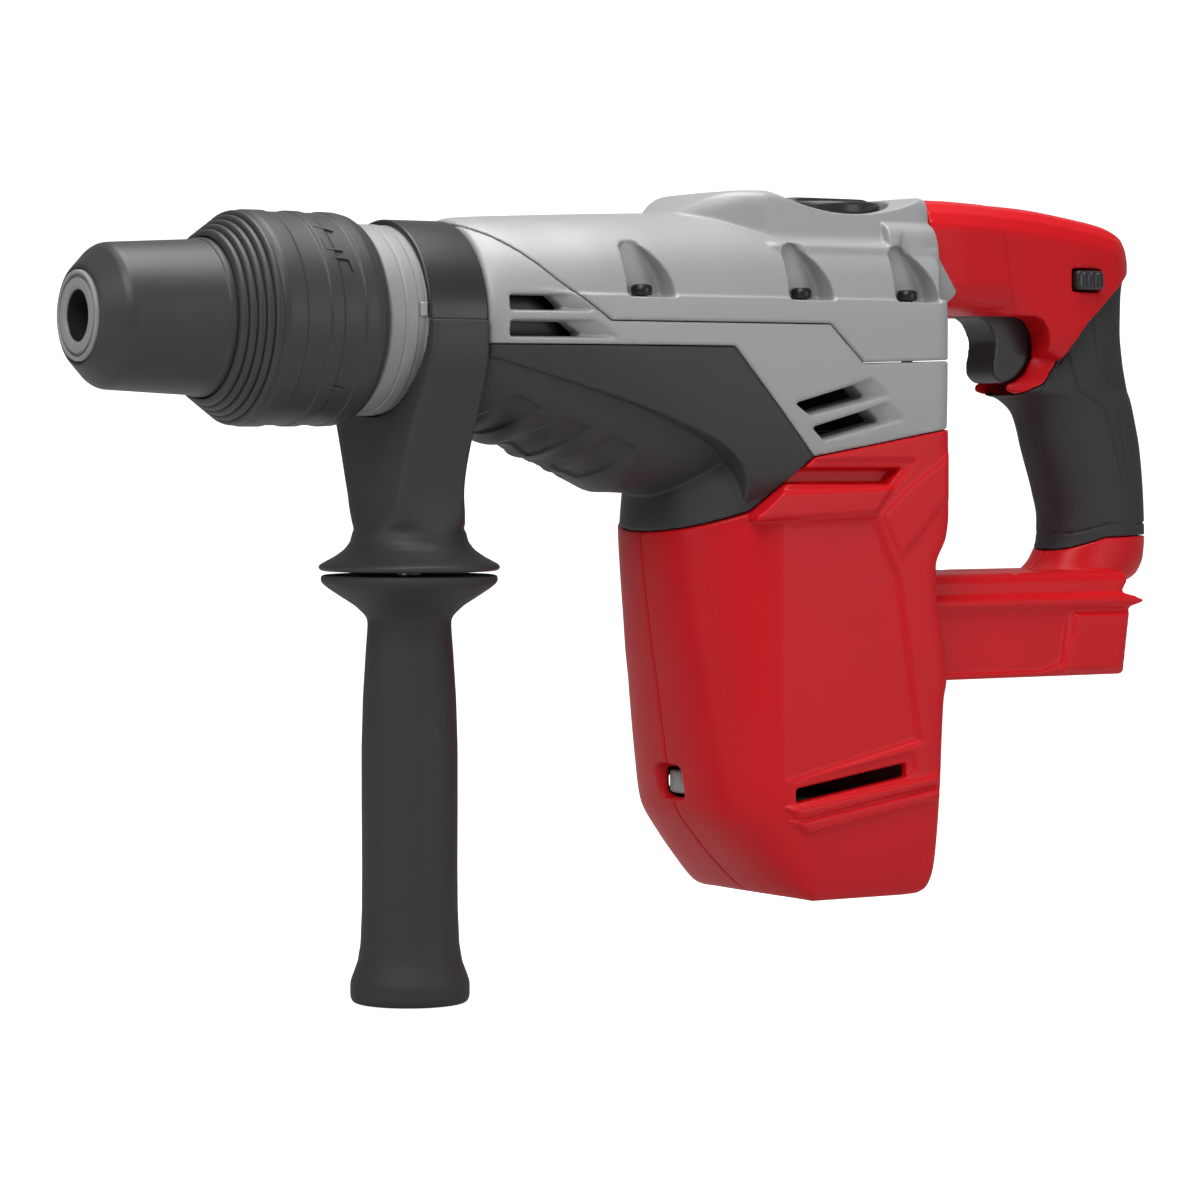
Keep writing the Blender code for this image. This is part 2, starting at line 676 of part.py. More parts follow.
def make_handle():
    """Two red half shells with one dark moulding round the grip."""
    arm, grip = helper("arm_shape", loft(handle_arm())), helper("grip_shape", loft(handle_grip()))
    foot = make_foot("foot_shape")
    core = helper("grip_core", loft(handle_grip(3.0, 12)))
    core_room = helper("grip_core_room", loft(handle_grip(3.0 - GAP, 12)))
    sleeve_cut = grip_region("sleeve_cut")
    boolean(sleeve_cut, "DIFFERENCE", core)
    hollow = helper("arm_hollow", loft(handle_arm(3.5, 12)[:-1]))
    trigger_room = helper("trigger_room", block((356.2, -9, -25), (399.3, 9, 12.6)))
    guard = helper("guard_gap", plate([(340, 5.0), (374, 5.0), (371, -24), (340, -24)], -40, 40))
    button_hole = helper("button_hole", block((395, -30, CONTROL_Z - 4.4), (410, 30, CONTROL_Z + 4.4)))
    slot = helper("battery_slot", block((CASE_REAR + 8, -SLOT_HALF, RAIL_TOP), (440, SLOT_HALF, SLOT_ROOF)))
    mouth = helper("slot_mouth", block((CASE_REAR + 8, -SLOT_MOUTH_HALF, -140), (440, SLOT_MOUTH_HALF, RAIL_TOP + 1)))
    seat = helper("terminal_seat", block((FOOT_X - 25.3, -15.3, SLOT_ROOF - 5), (FOOT_X + 25.3, 15.3, SLOT_ROOF + 8.3)))
    wire_way = helper("wire_way", block((398, -6, -110), (420, 6, 10)))
    side = helper("handle_near_side", block((300, -60, -150), (470, -GAP / 2, 80)))
    left = solid_from(arm, "handle_left", RED)
    pad_room = helper("pad_room", block((300, -50, 19.7), (330.3, 50, 60)))
    boolean(left, "DIFFERENCE", pad_room)
    boolean(left, "UNION", grip, foot)
    boolean(left, "INTERSECT", side)
    boolean(left, "DIFFERENCE", sleeve_cut, hollow, guard, trigger_room, button_hole)
    boolean(left, "DIFFERENCE", slot, mouth, seat, wire_way)
    other_half(welded(left), "handle_right", RED)
    moulding = solid_from(grip, "grip_overmould", RUBBER)
    boolean(moulding, "INTERSECT", grip_region("moulding_region", GAP))
    boolean(moulding, "DIFFERENCE", core_room, trigger_room, helper("moulding_wire_way", block((398, -6, 0), (420, 6, 40))))


def make_terminals():
    front, rear, top = FOOT_X - 25, FOOT_X + 25, SLOT_ROOF + 8
    step_x, blade_roof = FOOT_X + 2, SLOT_ROOF + 0.6
    outline = [(front, top), (front, SLOT_ROOF), (step_x, SLOT_ROOF), (step_x, blade_roof), (rear, blade_roof), (rear, top)]
    piece("terminal_block", plate(outline, -15, 15), DARK)
    for number, y in enumerate((-9.5, 9.5), 1):
        blade = block((step_x + 1, y - 0.5, SLOT_ROOF - 7), (rear - 4, y + 0.5, blade_roof - GAP))
        piece(f"terminal_blade_{number}", blade, COPPER)


def make_screws():
    for number, (x, y, tip) in enumerate(screw_places(), 1):
        outline = [
            (tip, 0),
            (tip, SCREW_SHANK_R),
            (SCREW_Z - SCREW_HEAD, SCREW_SHANK_R),
            (SCREW_Z - SCREW_HEAD, SCREW_HEAD_R),
            (SCREW_Z, SCREW_HEAD_R - 0.4),
            (SCREW_Z, 2.0),
            (SCREW_Z - 2.2, 1.8),
            (SCREW_Z - 2.2, 0),
        ]
        piece(f"cover_screw_{number}", turned(outline, "Z", (x, y, 0), 12), BLACK_STEEL)


def make_barrel():
    """The metal neck that the side handle clamps, and the barrel behind it that carries the spindle."""
    outline = [
        (NECK_FRONT + 1, 29.0),
        (NECK_FRONT + 1, NECK_R - 1.0),
        (NECK_FRONT + 2, NECK_R),
        (CASE_FRONT - GAP, NECK_R),
        (CASE_FRONT - GAP, BARREL_R - GAP),
        (180.0, BARREL_R - GAP),
        (180.0, 26.5),
        (NECK_FRONT + 8, 26.5),
        (NECK_FRONT + 8, 29.0),
    ]
    piece("barrel_housing", turned(outline), NECK_METAL)
    piece("front_bearing", ring(111.0, 12.0, TUBE_OUT_R + 3.2, 26.2, segments=24), STEEL)


def make_holder():
    """What turns with the tool bit: tool holder, dust cap, nose sleeve and hammer tube."""
    spin = empty("spindle_axis", (0, 0, 0), DATUM)
    holder = [
        (9.0, SHANK_BORE_R),
        (9.0, 13.0),
        (12.0, HOLDER_R),
        (60.0, HOLDER_R),
        (60.0, 21.0),
        (63.0, 21.0),
        (63.0, HOLDER_R + 1),
        (FLANGE_X, HOLDER_R + 1),
        (FLANGE_X, TUBE_OUT_R + 2.8),
        (TUBE_FRONT - GAP, TUBE_OUT_R + 2.8),
        (TUBE_FRONT - GAP, 11.4),
        (FLANGE_X, 11.4),
        (FLANGE_X, SHANK_BORE_R),
    ]
    body = piece("tool_holder", turned(holder), STEEL, spin)
    low = (CAM_FRONT, -ROLLER_R - GAP, -40)
    room = helper("roller_slots", block(low, (CAM_FRONT + CAM_LENGTH, ROLLER_R + GAP, 40)))
    boolean(body, "DIFFERENCE", room)
    cap = [(0.0, 8.3), (0.0, 13.6), (1.0, 14.6), (8.6, 14.9), (8.6, 8.3)]
    piece("dust_cap", turned(cap), SEAL, spin)
    sleeve = [
        (1.2, 15.3),
        (1.2, 17.0),
        (8.0, 23.4),
        (9.5, 23.9),
        (COLLAR_FRONT + 8, SLEEVE_R),
        (COLLAR_FRONT + 8, HOLDER_R + GAP),
        (9.4, HOLDER_R + GAP),
        (9.4, 15.3),
    ]
    piece("nose_sleeve", turned(sleeve, segments=24), DARK, spin)
    tube = ring(TUBE_FRONT, TUBE_REAR - TUBE_FRONT, TUBE_IN_R, TUBE_OUT_R)
    piece("hammer_tube", tube, STEEL, spin)
    return spin


def make_collar(spin):
    """The sleeve that is pulled back to free the tool bit, with its spring and locking rollers."""
    slide = empty("collar_slide", (0, 0, 0), spin)
    outline = [(COLLAR_FRONT, SLEEVE_R + 0.5)]
    steps = 3
    for i in range(steps):
        x = COLLAR_FRONT + 12.0 * i / steps
        r = SLEEVE_R + 1.2 + (COLLAR_R - SLEEVE_R - 1.2) * math.sin(math.pi / 2 * (i + 1) / steps)
        outline.append((x + 1.7, r))
    outline += [
        (COLLAR_REAR - 3, COLLAR_R - 0.2),
        (COLLAR_REAR, COLLAR_R - 1.8),
        (COLLAR_REAR, NECK_R + 1.0),
        (NECK_FRONT - 8, NECK_R + 1.0),
        (NECK_FRONT - 8, SLEEVE_R + 0.5),
    ]
    piece("collar_sleeve", turned(outline, segments=28), DARK, slide)
    centre = SHANK_BORE_R - ROLLER_BITE + ROLLER_R
    # The bore tapers at the rate that the rollers lift, so the ring never catches them on its way back.
    bore = centre + ROLLER_R + RUNNING
    mouth = bore + CAM_LENGTH * ROLLER_LIFT / COLLAR_TRAVEL
    rear = CAM_FRONT + CAM_LENGTH
    cam = [(CAM_FRONT, mouth), (CAM_FRONT, SLEEVE_R + 0.1), (rear, SLEEVE_R + 0.1), (rear, bore)]
    piece("cam_ring", turned(cam, segments=20), STEEL, slide)
    for name, side in (("lock_roller_upper", 1), ("lock_roller_lower", -1)):
        pivot = empty(f"{name}_slide", (CAM_FRONT, 0, side * centre), spin)
        roller = rod(CAM_FRONT + GAP, CAM_LENGTH - 2 * GAP, ROLLER_R, "X", (0, 0, side * centre), 16)
        piece(name, roller, STEEL, pivot)


def make_spring(spin):
    """The collar's coil spring, round the tool holder."""
    turns, radius = 3.0, 23.4
    front = CAM_FRONT + CAM_LENGTH + GAP + SPRING_WIRE_R
    rear = FLANGE_X - GAP - SPRING_WIRE_R
    count = int(turns * 10)
    curve = bpy.data.curves.new("collar_spring", "CURVE")
    curve.dimensions = "3D"
    curve.bevel_depth = SPRING_WIRE_R * MM
    curve.bevel_resolution = 0
    curve.use_fill_caps = True
    line = curve.splines.new("POLY")
    line.points.add(count)
    for i in range(count + 1):
        angle = 2 * math.pi * turns * i / count
        x = front + (rear - front) * i / count
        line.points[i].co = (x * MM, radius * math.cos(angle) * MM, radius * math.sin(angle) * MM, 1)
    curve.materials.append(STEEL)
    spring = bpy.data.objects.new("collar_spring", curve)
    spring.parent = spin
    bpy.context.scene.collection.objects.link(spring)


def make_hammer():
    """Anvil, striker and piston, which pass the blow to the tool bit."""
    anvil_slide = empty("anvil_slide", (0, 0, 0), DATUM)
    shoulder = TUBE_FRONT + ANVIL_TRAVEL + GAP
    anvil = [(97, 0), (97, 10), (98, 11), (shoulder, 11), (shoulder + 3, 15.4), (128, 15.4), (129.5, 13), (129.5, 0)]
    piece("anvil", turned(anvil, segments=20), STEEL, anvil_slide)
    striker_slide = empty("striker_slide", (0, 0, 0), DATUM)
    striker = [(130.5, 0), (130.5, 9), (134, 9), (136, 15.5), (156, 15.5), (156, 0)]
    piece("striker", turned(striker, segments=20), STEEL, striker_slide)
    piston_slide = empty("piston_slide", (PIN_X, 0, 0), DATUM)
    rear = PISTON_FRONT + PISTON_LENGTH
    piston = [(PISTON_FRONT, 0), (PISTON_FRONT, 15.7)]
    piston += [(rear, 15.7), (rear, 12.0), (202, 12.0), (202, 0)]
    body = piece("piston", turned(piston, segments=20), STEEL, piston_slide)
    pin_hole = helper("wrist_pin_hole", rod(-30, 60, WRIST_PIN_R + GAP, "Z", (PIN_X, 0, 0), 16))
    boolean(body, "DIFFERENCE", pin_hole)
    piece("wrist_pin", rod(-14.5, 29, WRIST_PIN_R, "Z", (PIN_X, 0, 0), 16), STEEL, piston_slide)


def make_conrod():
    pivot = empty("wrist_pivot", (PIN_X, 0, 0), DATUM)
    end_x = CRANK_X + CRANK_THROW
    rod_body = piece("connecting_rod", ring(-4.5, 9, WRIST_PIN_R + GAP, 7.6, "Z", (PIN_X, 0, 0), 20), STEEL, pivot)
    eye = helper("big_end", rod(-4.5, 9, 9.5, "Z", (end_x, 0, 0), 20))
    shank = helper("rod_shank", block((PIN_X + 6, -3.5, -3.5), (end_x - 6, 3.5, 3.5)))
    bore = helper("big_end_bore", rod(-10, 20, CRANK_PIN_R + GAP, "Z", (end_x, 0, 0), 20))
    boolean(rod_body, "UNION", eye, shank)
    boolean(rod_body, "DIFFERENCE", bore)
    pin_low = CRANK_DISC_TOP + 0.6
    piece("crank_pin", rod(pin_low, 6.5 - pin_low, CRANK_PIN_R, "Z", (end_x, 0, 0), 16), STEEL, pivot)


def make_gears(spin):
    """Motor pinion, crank gear, idler and the bevel pair that turns the spindle."""
    low, high = GEAR_Z - GEAR_THICK / 2, GEAR_Z + GEAR_THICK / 2
    rotor = empty("rotor_axis", (MOTOR_SHAFT_X, 0, 0), DATUM)
    crank = empty("crank_axis", (CRANK_X, 0, 0), DATUM)
    idler = empty("idler_axis", (IDLER_X, 0, 0), DATUM)
    gear = piece("crank_gear", spur_gear(CRANK_TEETH, MODULE, low, high, (CRANK_X, 0, 0)), STEEL, crank)
    boolean(gear, "DIFFERENCE", helper("crank_gear_bore", rod(low - 5, 20, 8 + GAP, "Z", (CRANK_X, 0, 0), 20)))
    shaft = [(low - 6, 0), (low - 6, 8), (-22, 8), (-22, 9.5), (-18, 9.5), (-18, 16.5), (CRANK_DISC_TOP, 16.5)]
    shaft.append((CRANK_DISC_TOP, 0))
    piece("crank_shaft", turned(shaft, "Z", (CRANK_X, 0, 0), 24), STEEL, crank)
    piece("crank_bearing", ring(-38.5, 14, 8 + RUNNING, 13.5, "Z", (CRANK_X, 0, 0), 20), STEEL)
    # The crank gear has a tooth on the line of centres, so the pinion and the idler start half a step round.
    half_step = math.pi / PINION_TEETH
    pinion = spur_gear(PINION_TEETH, MODULE, low - 1, high + 3, (MOTOR_SHAFT_X, 0, 0), math.pi + half_step)
    piece("motor_pinion", pinion, STEEL, rotor)
    idler_phase = math.pi / IDLER_TEETH
    gear = piece("idler_gear", spur_gear(IDLER_TEETH, MODULE, low, high, (IDLER_X, 0, 0), idler_phase), STEEL, idler)
    boolean(gear, "DIFFERENCE", helper("idler_gear_bore", rod(low - 5, 20, 4 + GAP, "Z", (IDLER_X, 0, 0), 16)))
    apex = (IDLER_X, 0, 0)
    reach = RING_TEETH * BEVEL_MODULE / 2
    backs = [(-low + 2, 4.0), (reach + 3, 4.0), (reach * 0.83, 3.0)]
    bevel = loft(bevel_gear(BEVEL_TEETH, RING_TEETH, 0.88, math.pi / BEVEL_TEETH, backs))
    bevel.transform(axes_matrix((0, 0, -1), (-1, 0, 0), apex))
    piece("bevel_pinion", bevel, STEEL, idler)
    pitch_axial = BEVEL_TEETH * BEVEL_MODULE / 2
    backs = [(pitch_axial + 8, TUBE_OUT_R + GAP), (pitch_axial + 8, reach - 1), (pitch_axial + 1, TUBE_OUT_R + GAP)]
    rings = bevel_gear(RING_TEETH, BEVEL_TEETH, 0.88, 0.0, backs)
    ring_gear = loft([*rings, rings[0]], closed=True)
    ring_gear.transform(axes_matrix((-1, 0, 0), (0, 0, -1), apex))
    piece("bevel_ring_gear", ring_gear, STEEL, spin)
    return rotor


def make_motor(rotor):
    x = MOTOR_SHAFT_X
    piece("stator", ring(-153, 60, 22.8, 37.0, "Z", (x, 0, 0)), BLACK_STEEL)
    shaft = [(-180, 0), (-180, 4), (GEAR_Z - 5.6, 4), (GEAR_Z - 5.6, 0)]
    piece("motor_shaft", turned(shaft, "Z", (x, 0, 0), 16), STEEL, rotor)
    piece("rotor_core", ring(-151, 56, 4 + GAP, 22.0, "Z", (x, 0, 0), 24), BLACK_STEEL, rotor)
    fan = [(-80, 4.3), (-80, 33), (-78.5, 33), (-78.5, 14), (-71, 9), (-71, 4.3)]
    fan_disc = piece("cooling_fan", turned(fan, "Z", (x, 0, 0), 24), DARK, rotor)
    for i in range(9):
        blade = block((12, -0.8, -79), (32.5, 0.8, -70))
        blade.transform(Matrix.Translation((x, 0, 0)) @ Matrix.Rotation(2 * math.pi * i / 9, 4, "Z"))
        boolean(fan_disc, "UNION", helper(f"fan_blade_{i + 1}", blade))
    piece("upper_bearing", ring(-65.5, 6, 4 + RUNNING, 9.0, "Z", (x, 0, 0), 20), STEEL)
    piece("lower_bearing", ring(-176, 6, 4 + RUNNING, 9.0, "Z", (x, 0, 0), 20), STEEL)
    end = piece("lower_bearing_plate", block((x - 20, -26, -178), (x + 30, 26, -167)), DARK)
    seat = helper("lower_bearing_seat", rod(-176.3, 30, 9.0 + GAP, "Z", (x, 0, 0), 20))
    way = helper("shaft_way", rod(-190, 30, 5.5, "Z", (x, 0, 0), 16))
    boolean(end, "DIFFERENCE", seat, way)
    plate_piece = piece("gear_plate", block((CHAMBER_FRONT + 14, -29, -67), (CHAMBER_REAR - 1.5, 29, -57.5)), NECK_METAL)
    bearing_seat = helper("upper_bearing_seat", rod(-65.8, 20, 9.0 + GAP, "Z", (x, 0, 0), 20))
    shaft_way = helper("upper_shaft_way", rod(-75, 30, 5.5, "Z", (x, 0, 0), 16))
    boolean(plate_piece, "DIFFERENCE", bearing_seat, shaft_way)


def make_controls():
    """Trigger, lock button, mode knob and speed dial, with the modules behind them."""
    pull = empty("trigger_slide", (372, 0, -6), DATUM)
    outline = [(361.5, 4.5), (363.5, -1), (368.5, -6.5), (374, -11), (375.5, -16), (373.5, -20.5), (377, -22.8)]
    outline += [(384, -22.8), (387, -17), (388.5, -8), (388.5, 10), (361.5, 10)]
    piece("trigger", plate(outline, -8.2, 8.2), DARK, pull)
    piece("switch_module", block((398.2, -10, -2), (414, 10, 12.5)), DARK)
    push = empty("lock_button_slide", (402.5, 0, CONTROL_Z), DATUM)
    button = block((396, -22.5, CONTROL_Z - 3.8), (409, 22.5, CONTROL_Z + 3.8), 0.8)
    piece("lock_button", button, DARK, push)
    turn = empty("mode_knob_axis", (KNOB_X, 0, 0), DATUM)
    floor = PAD_TOP - 7.5
    knob = [(floor - 8, 0), (floor - 8, 6), (floor + RUNNING, 6), (floor + RUNNING, KNOB_R), (PAD_TOP - 3, KNOB_R)]
    knob += [(PAD_TOP - 2.2, KNOB_R - 0.8), (PAD_TOP - 2.2, 0)]
    knob_body = piece("mode_knob", turned(knob, "Z", (KNOB_X, 0, 0), 28), DARK, turn)
    bar = helper("knob_bar", block((KNOB_X - 19, -4, PAD_TOP - 4), (KNOB_X + 17, 4, PAD_TOP - 0.6), 0.8))
    boolean(knob_body, "UNION", bar)
    dial_turn = empty("speed_dial_axis", (DIAL_X, 0, DIAL_Z), DATUM)
    piece("speed_dial", rod(-4, 8, DIAL_R, "Z", (DIAL_X, 0, DIAL_Z), 24), SEAL, dial_turn)
    piece("control_board", block((330, -16, 20), (372, 16, 24)), BOARD)


def make_side_handle():
    """Clamp band, yoke and grip, which swing round the neck together."""
    swing = empty("side_handle_axis", (HANDLE_X, 0, 0), DATUM)
    low, high = HANDLE_X - BAND_WIDTH / 2, HANDLE_X + BAND_WIDTH / 2
    band = piece("clamp_band", ring(low, high - low, NECK_R + GAP, BAND_R, segments=36), DARK, swing)
    lower_half = helper("below_band", block((low - 5, -60, -60), (high + 5, 60, GAP / 2)))
    boolean(band, "DIFFERENCE", lower_half)
    outline = [(-36.5, -GAP / 2), (-36.5, -10), (-22, -42), (-19.5, -70), (19.5, -70), (22, -42), (36.5, -10)]
    outline.append((36.5, -GAP / 2))
    yoke = piece("handle_yoke", plate(outline, low, high, "YZ"), DARK, swing)
    flange = [
        (-84.8, 0),
        (-84.8, FLANGE_R - 0.5),
        (-83.4, FLANGE_R),
        (-76.0, 20.5),
        (-74.5, 19.0),
        (-66.0, 19.0),
        (-62.0, 17.0),
        (-62.0, 0),
    ]
    boolean(yoke, "UNION", helper("yoke_flange", turned(flange, "Z", (HANDLE_X, 0, 0), 24)))
    boolean(yoke, "DIFFERENCE", helper("yoke_bore", rod(low - 5, 60, NECK_R + GAP, segments=36)))
    boolean(yoke, "DIFFERENCE", helper("yoke_bolt_hole", rod(-100, 62, BOLT_R + GAP, "Z", (HANDLE_X, 0, 0), 16)))
    twist = empty("side_grip_axis", (HANDLE_X, 0, 0), DATUM)
    grip = [
        (GRIP_BOTTOM, 0),
        (GRIP_BOTTOM, 19.0),
        (GRIP_BOTTOM + 1.5, 20.4),
        (GRIP_BOTTOM + 7.5, 20.4),
        (GRIP_BOTTOM + 11, 18.6),
        (GRIP_BOTTOM + 18, 16.8),
        (-190, 16.3),
        (-140, 16.5),
        (-120, 15.6),
        (-101, 14.2),
        (-98, 15.0),
        (GRIP_TOP, 19.8),
        (-88.4, FLANGE_R - 1),
        (-86.6, FLANGE_R - 1),
        (-86.0, FLANGE_R - 2),
        (-86.0, BOLT_R + GAP),
        (GRIP_BOTTOM + 10, BOLT_R + GAP),
        (GRIP_BOTTOM + 10, 0),
    ]
    piece("side_grip", turned(grip, "Z", (HANDLE_X, 0, 0), 24), RUBBER, twist)
    bolt = [(GRIP_BOTTOM + 12, 0), (GRIP_BOTTOM + 12, BOLT_R), (-42, BOLT_R), (-42, 0)]
    piece("clamp_bolt", turned(bolt, "Z", (HANDLE_X, 0, 0), 16), STEEL, twist)


def main():
    case = gear_case_body("case_shape")
    shell = motor_body("motor_shape")
    chambers = make_chambers()
    make_gear_cover(case, chambers)
    make_gear_housing(case, chambers)
    make_lower_cover(case, chambers)
    make_motor_housing(shell, chambers)
    make_handle()
    make_terminals()
    make_screws()
    make_barrel()
    spin = make_holder()
    make_collar(spin)
    make_spring(spin)
    make_hammer()
    make_conrod()
    rotor = make_gears(spin)
    make_motor(rotor)
    make_controls()
    make_side_handle()
    for made in bpy.data.objects:
        has_weld = any(step.type == "WELD" for step in made.modifiers)
        if made.modifiers and not made.hide_render and not has_weld:
            welded(made)


main()
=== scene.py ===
# %% [markdown]
# # A rotary hammer, piece by piece
#
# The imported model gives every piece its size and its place. This script builds the outside that a
# person would see: moulded shells with soft edges, turned chuck parts, soft grips and real finishes.
# Every measure is in millimetres from the middle of the nose: X runs back to the rear handle, Y to
# the far side and Z up. One function turns those numbers into metres in the model's frame.

# %% Load the frame and keep its size
import json
import math

import bmesh
import bpy
from mathutils import Matrix, Vector

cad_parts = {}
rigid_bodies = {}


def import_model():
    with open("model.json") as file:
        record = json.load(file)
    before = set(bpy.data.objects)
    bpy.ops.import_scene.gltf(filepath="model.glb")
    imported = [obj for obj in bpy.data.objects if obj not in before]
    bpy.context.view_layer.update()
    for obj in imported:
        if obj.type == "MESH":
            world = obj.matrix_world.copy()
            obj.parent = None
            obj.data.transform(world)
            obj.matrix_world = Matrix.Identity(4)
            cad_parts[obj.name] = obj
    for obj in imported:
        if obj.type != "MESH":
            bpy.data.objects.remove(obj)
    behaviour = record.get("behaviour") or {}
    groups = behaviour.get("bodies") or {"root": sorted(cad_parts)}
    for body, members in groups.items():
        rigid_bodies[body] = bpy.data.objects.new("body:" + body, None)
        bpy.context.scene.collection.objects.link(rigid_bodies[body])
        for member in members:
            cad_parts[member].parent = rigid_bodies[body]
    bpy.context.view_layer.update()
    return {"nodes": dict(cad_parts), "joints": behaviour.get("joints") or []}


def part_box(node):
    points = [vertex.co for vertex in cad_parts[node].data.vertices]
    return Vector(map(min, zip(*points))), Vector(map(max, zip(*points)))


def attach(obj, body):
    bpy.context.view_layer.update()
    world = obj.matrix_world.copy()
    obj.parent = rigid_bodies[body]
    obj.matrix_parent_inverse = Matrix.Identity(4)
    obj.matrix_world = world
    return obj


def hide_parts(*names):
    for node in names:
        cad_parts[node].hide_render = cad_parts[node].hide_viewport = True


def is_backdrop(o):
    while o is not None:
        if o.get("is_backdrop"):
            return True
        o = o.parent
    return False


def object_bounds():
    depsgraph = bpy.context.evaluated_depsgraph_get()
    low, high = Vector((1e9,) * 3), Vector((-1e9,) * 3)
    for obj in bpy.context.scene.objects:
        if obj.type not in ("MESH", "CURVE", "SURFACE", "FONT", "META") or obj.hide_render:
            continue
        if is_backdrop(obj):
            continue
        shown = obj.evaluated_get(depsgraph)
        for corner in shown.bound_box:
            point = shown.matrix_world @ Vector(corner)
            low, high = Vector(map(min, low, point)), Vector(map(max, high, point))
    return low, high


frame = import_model()

# %% Find the tool's own origin
MM = 0.001
JOINTS = {joint["name"]: joint for joint in frame["joints"]}
NOSE = Vector((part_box("dust_cap")[0].x, 0.0, JOINTS["spindle_spin"]["pos_m"][2]))
print("nose at", [round(v, 4) for v in NOSE])

# %% Places and sizes that several pieces share
HANDLE_X = 124.4  # the side handle's axis
KNOB_X = 297  # the mode knob's axis
DIAL_X, DIAL_Z = 248.5, -161.5  # the speed dial's centre
MOTOR_HALF = 43.7  # half the motor housing's width

# %% [markdown]
# ## Small tools for meshes
#
# Most pieces here are either turned on a lathe or skinned over a row of cross-sections. Both start
# as a bmesh, which is Blender's editable mesh. A curve through a few stations gives many rings, so
# a long shell stays smooth with only a handful of chosen numbers.

# %% Smooth rows from a few stations
GAP = 0.35  # between two shells that meet


def refine(stations, step):
    """Rows at an even step along their first number, on curves that never overshoot."""
    columns = list(zip(*stations))
    places = columns[0]
    slopes = []
    for column in columns:
        rise = [(b - a) / (v - u) for a, b, u, v in zip(column, column[1:], places, places[1:])]
        inner = [0.0 if a * b <= 0 else 2 * a * b / (a + b) for a, b in zip(rise, rise[1:])]
        slopes.append([rise[0], *inner, rise[-1]])
    rows = []
    for i, (start, end) in enumerate(zip(places, places[1:])):
        count = max(1, round(abs(end - start) / step))
        for k in range(count):
            t = k / count
            row = []
            for column, slope in zip(columns, slopes):
                span = end - start
                a, b = column[i], column[i + 1]
                h = (1 + 2 * t) * (1 - t) ** 2 * a + t * t * (3 - 2 * t) * b
                row.append(h + (t * (1 - t) ** 2 * slope[i] + t * t * (t - 1) * slope[i + 1]) * span)
            rows.append(row)
    rows.append([column[-1] for column in columns])
    return rows


# %% Skins, lathes and plates
def solid(name, bm):
    """A helper object from a bmesh drawn in millimetres from the nose."""
    bmesh.ops.remove_doubles(bm, verts=bm.verts, dist=1e-4)
    bmesh.ops.recalc_face_normals(bm, faces=bm.faces)
    bm.transform(Matrix.Translation(NOSE) @ Matrix.Scale(MM, 4))
    mesh = bpy.data.meshes.new(name)
    bm.to_mesh(mesh)
    bm.free()
    made = bpy.data.objects.new(name, mesh)
    made["helper"] = True
    bpy.context.scene.collection.objects.link(made)
    return made


def skin(name, rings):
    """Joins rings of equal length into one closed body."""
    bm = bmesh.new()
    rows = [[bm.verts.new(point) for point in one] for one in rings]
    for near, far in zip(rows, rows[1:]):
        for i in range(len(near)):
            j = (i + 1) % len(near)
            bm.faces.new((near[i], near[j], far[j], far[i]))
    bm.faces.new(rows[0])
    bm.faces.new(rows[-1][::-1])
    bmesh.ops.triangulate(bm, faces=[face for face in bm.faces if len(face.verts) > 4])
    return solid(name, bm)


def axis_matrix(axis):
    if axis == "X":
        return Matrix.Identity(4)
    if axis == "Y":
        return Matrix.Rotation(math.pi / 2, 4, "Z")
    return Matrix.Rotation(-math.pi / 2, 4, "Y")


def lathe(name, outline, axis="X", centre=(0, 0, 0), segments=96):
    """Spins a line of (along, radius) points. A line that leaves the axis at both ends is closed."""
    bm = bmesh.new()
    points = [bm.verts.new((along, 0, radius)) for along, radius in outline]
    pairs = list(zip(points, points[1:]))
    if outline[0][1] > 1e-6 or outline[-1][1] > 1e-6:
        pairs.append((points[-1], points[0]))
    edges = [bm.edges.new(pair) for pair in pairs]
    turn = {"axis": (1, 0, 0), "cent": (0, 0, 0), "angle": 2 * math.pi}
    bmesh.ops.spin(bm, geom=points + edges, steps=segments, use_merge=True, **turn)
    bmesh.ops.remove_doubles(bm, verts=bm.verts, dist=1e-4)
    bm.transform(Matrix.Translation(centre) @ axis_matrix(axis))
    return solid(name, bm)


def rod(name, start, length, radius, axis="X", centre=(0, 0, 0), segments=64):
    outline = [(start, 0), (start, radius), (start + length, radius), (start + length, 0)]
    return lathe(name, outline, axis, centre, segments)


def prism(name, outline, low, high, plane="XZ"):
    """An outline in one plane, thickened from low to high along the third axis."""
    put = {
        "XZ": lambda a, b, c: (a, c, b),
        "YZ": lambda a, b, c: (c, a, b),
        "XY": lambda a, b, c: (a, b, c),
    }[plane]
    bm = bmesh.new()
    rows = [[bm.verts.new(put(a, b, depth)) for a, b in outline] for depth in (low, high)]
    for i in range(len(outline)):
        j = (i + 1) % len(outline)
        bm.faces.new((rows[0][i], rows[0][j], rows[1][j], rows[1][i]))
    bm.faces.new(rows[0][::-1])
    bm.faces.new(rows[1])
    bmesh.ops.triangulate(bm, faces=bm.faces[:])
    return solid(name, bm)


def block(name, low, high, bevel=0.0):
    bm = bmesh.new()
    bmesh.ops.create_cube(bm, size=1)
    size = Vector(high) - Vector(low)
    bm.transform(Matrix.Translation((Vector(high) + Vector(low)) / 2) @ Matrix.Diagonal((*size, 1)))
    if bevel:
        bmesh.ops.bevel(bm, geom=bm.edges[:], offset=bevel, segments=3, profile=0.5, affect="EDGES")
    return solid(name, bm)


# %% The same shape on both sides
SIDES = (-1, 1)  # the near side and the far side of the tool


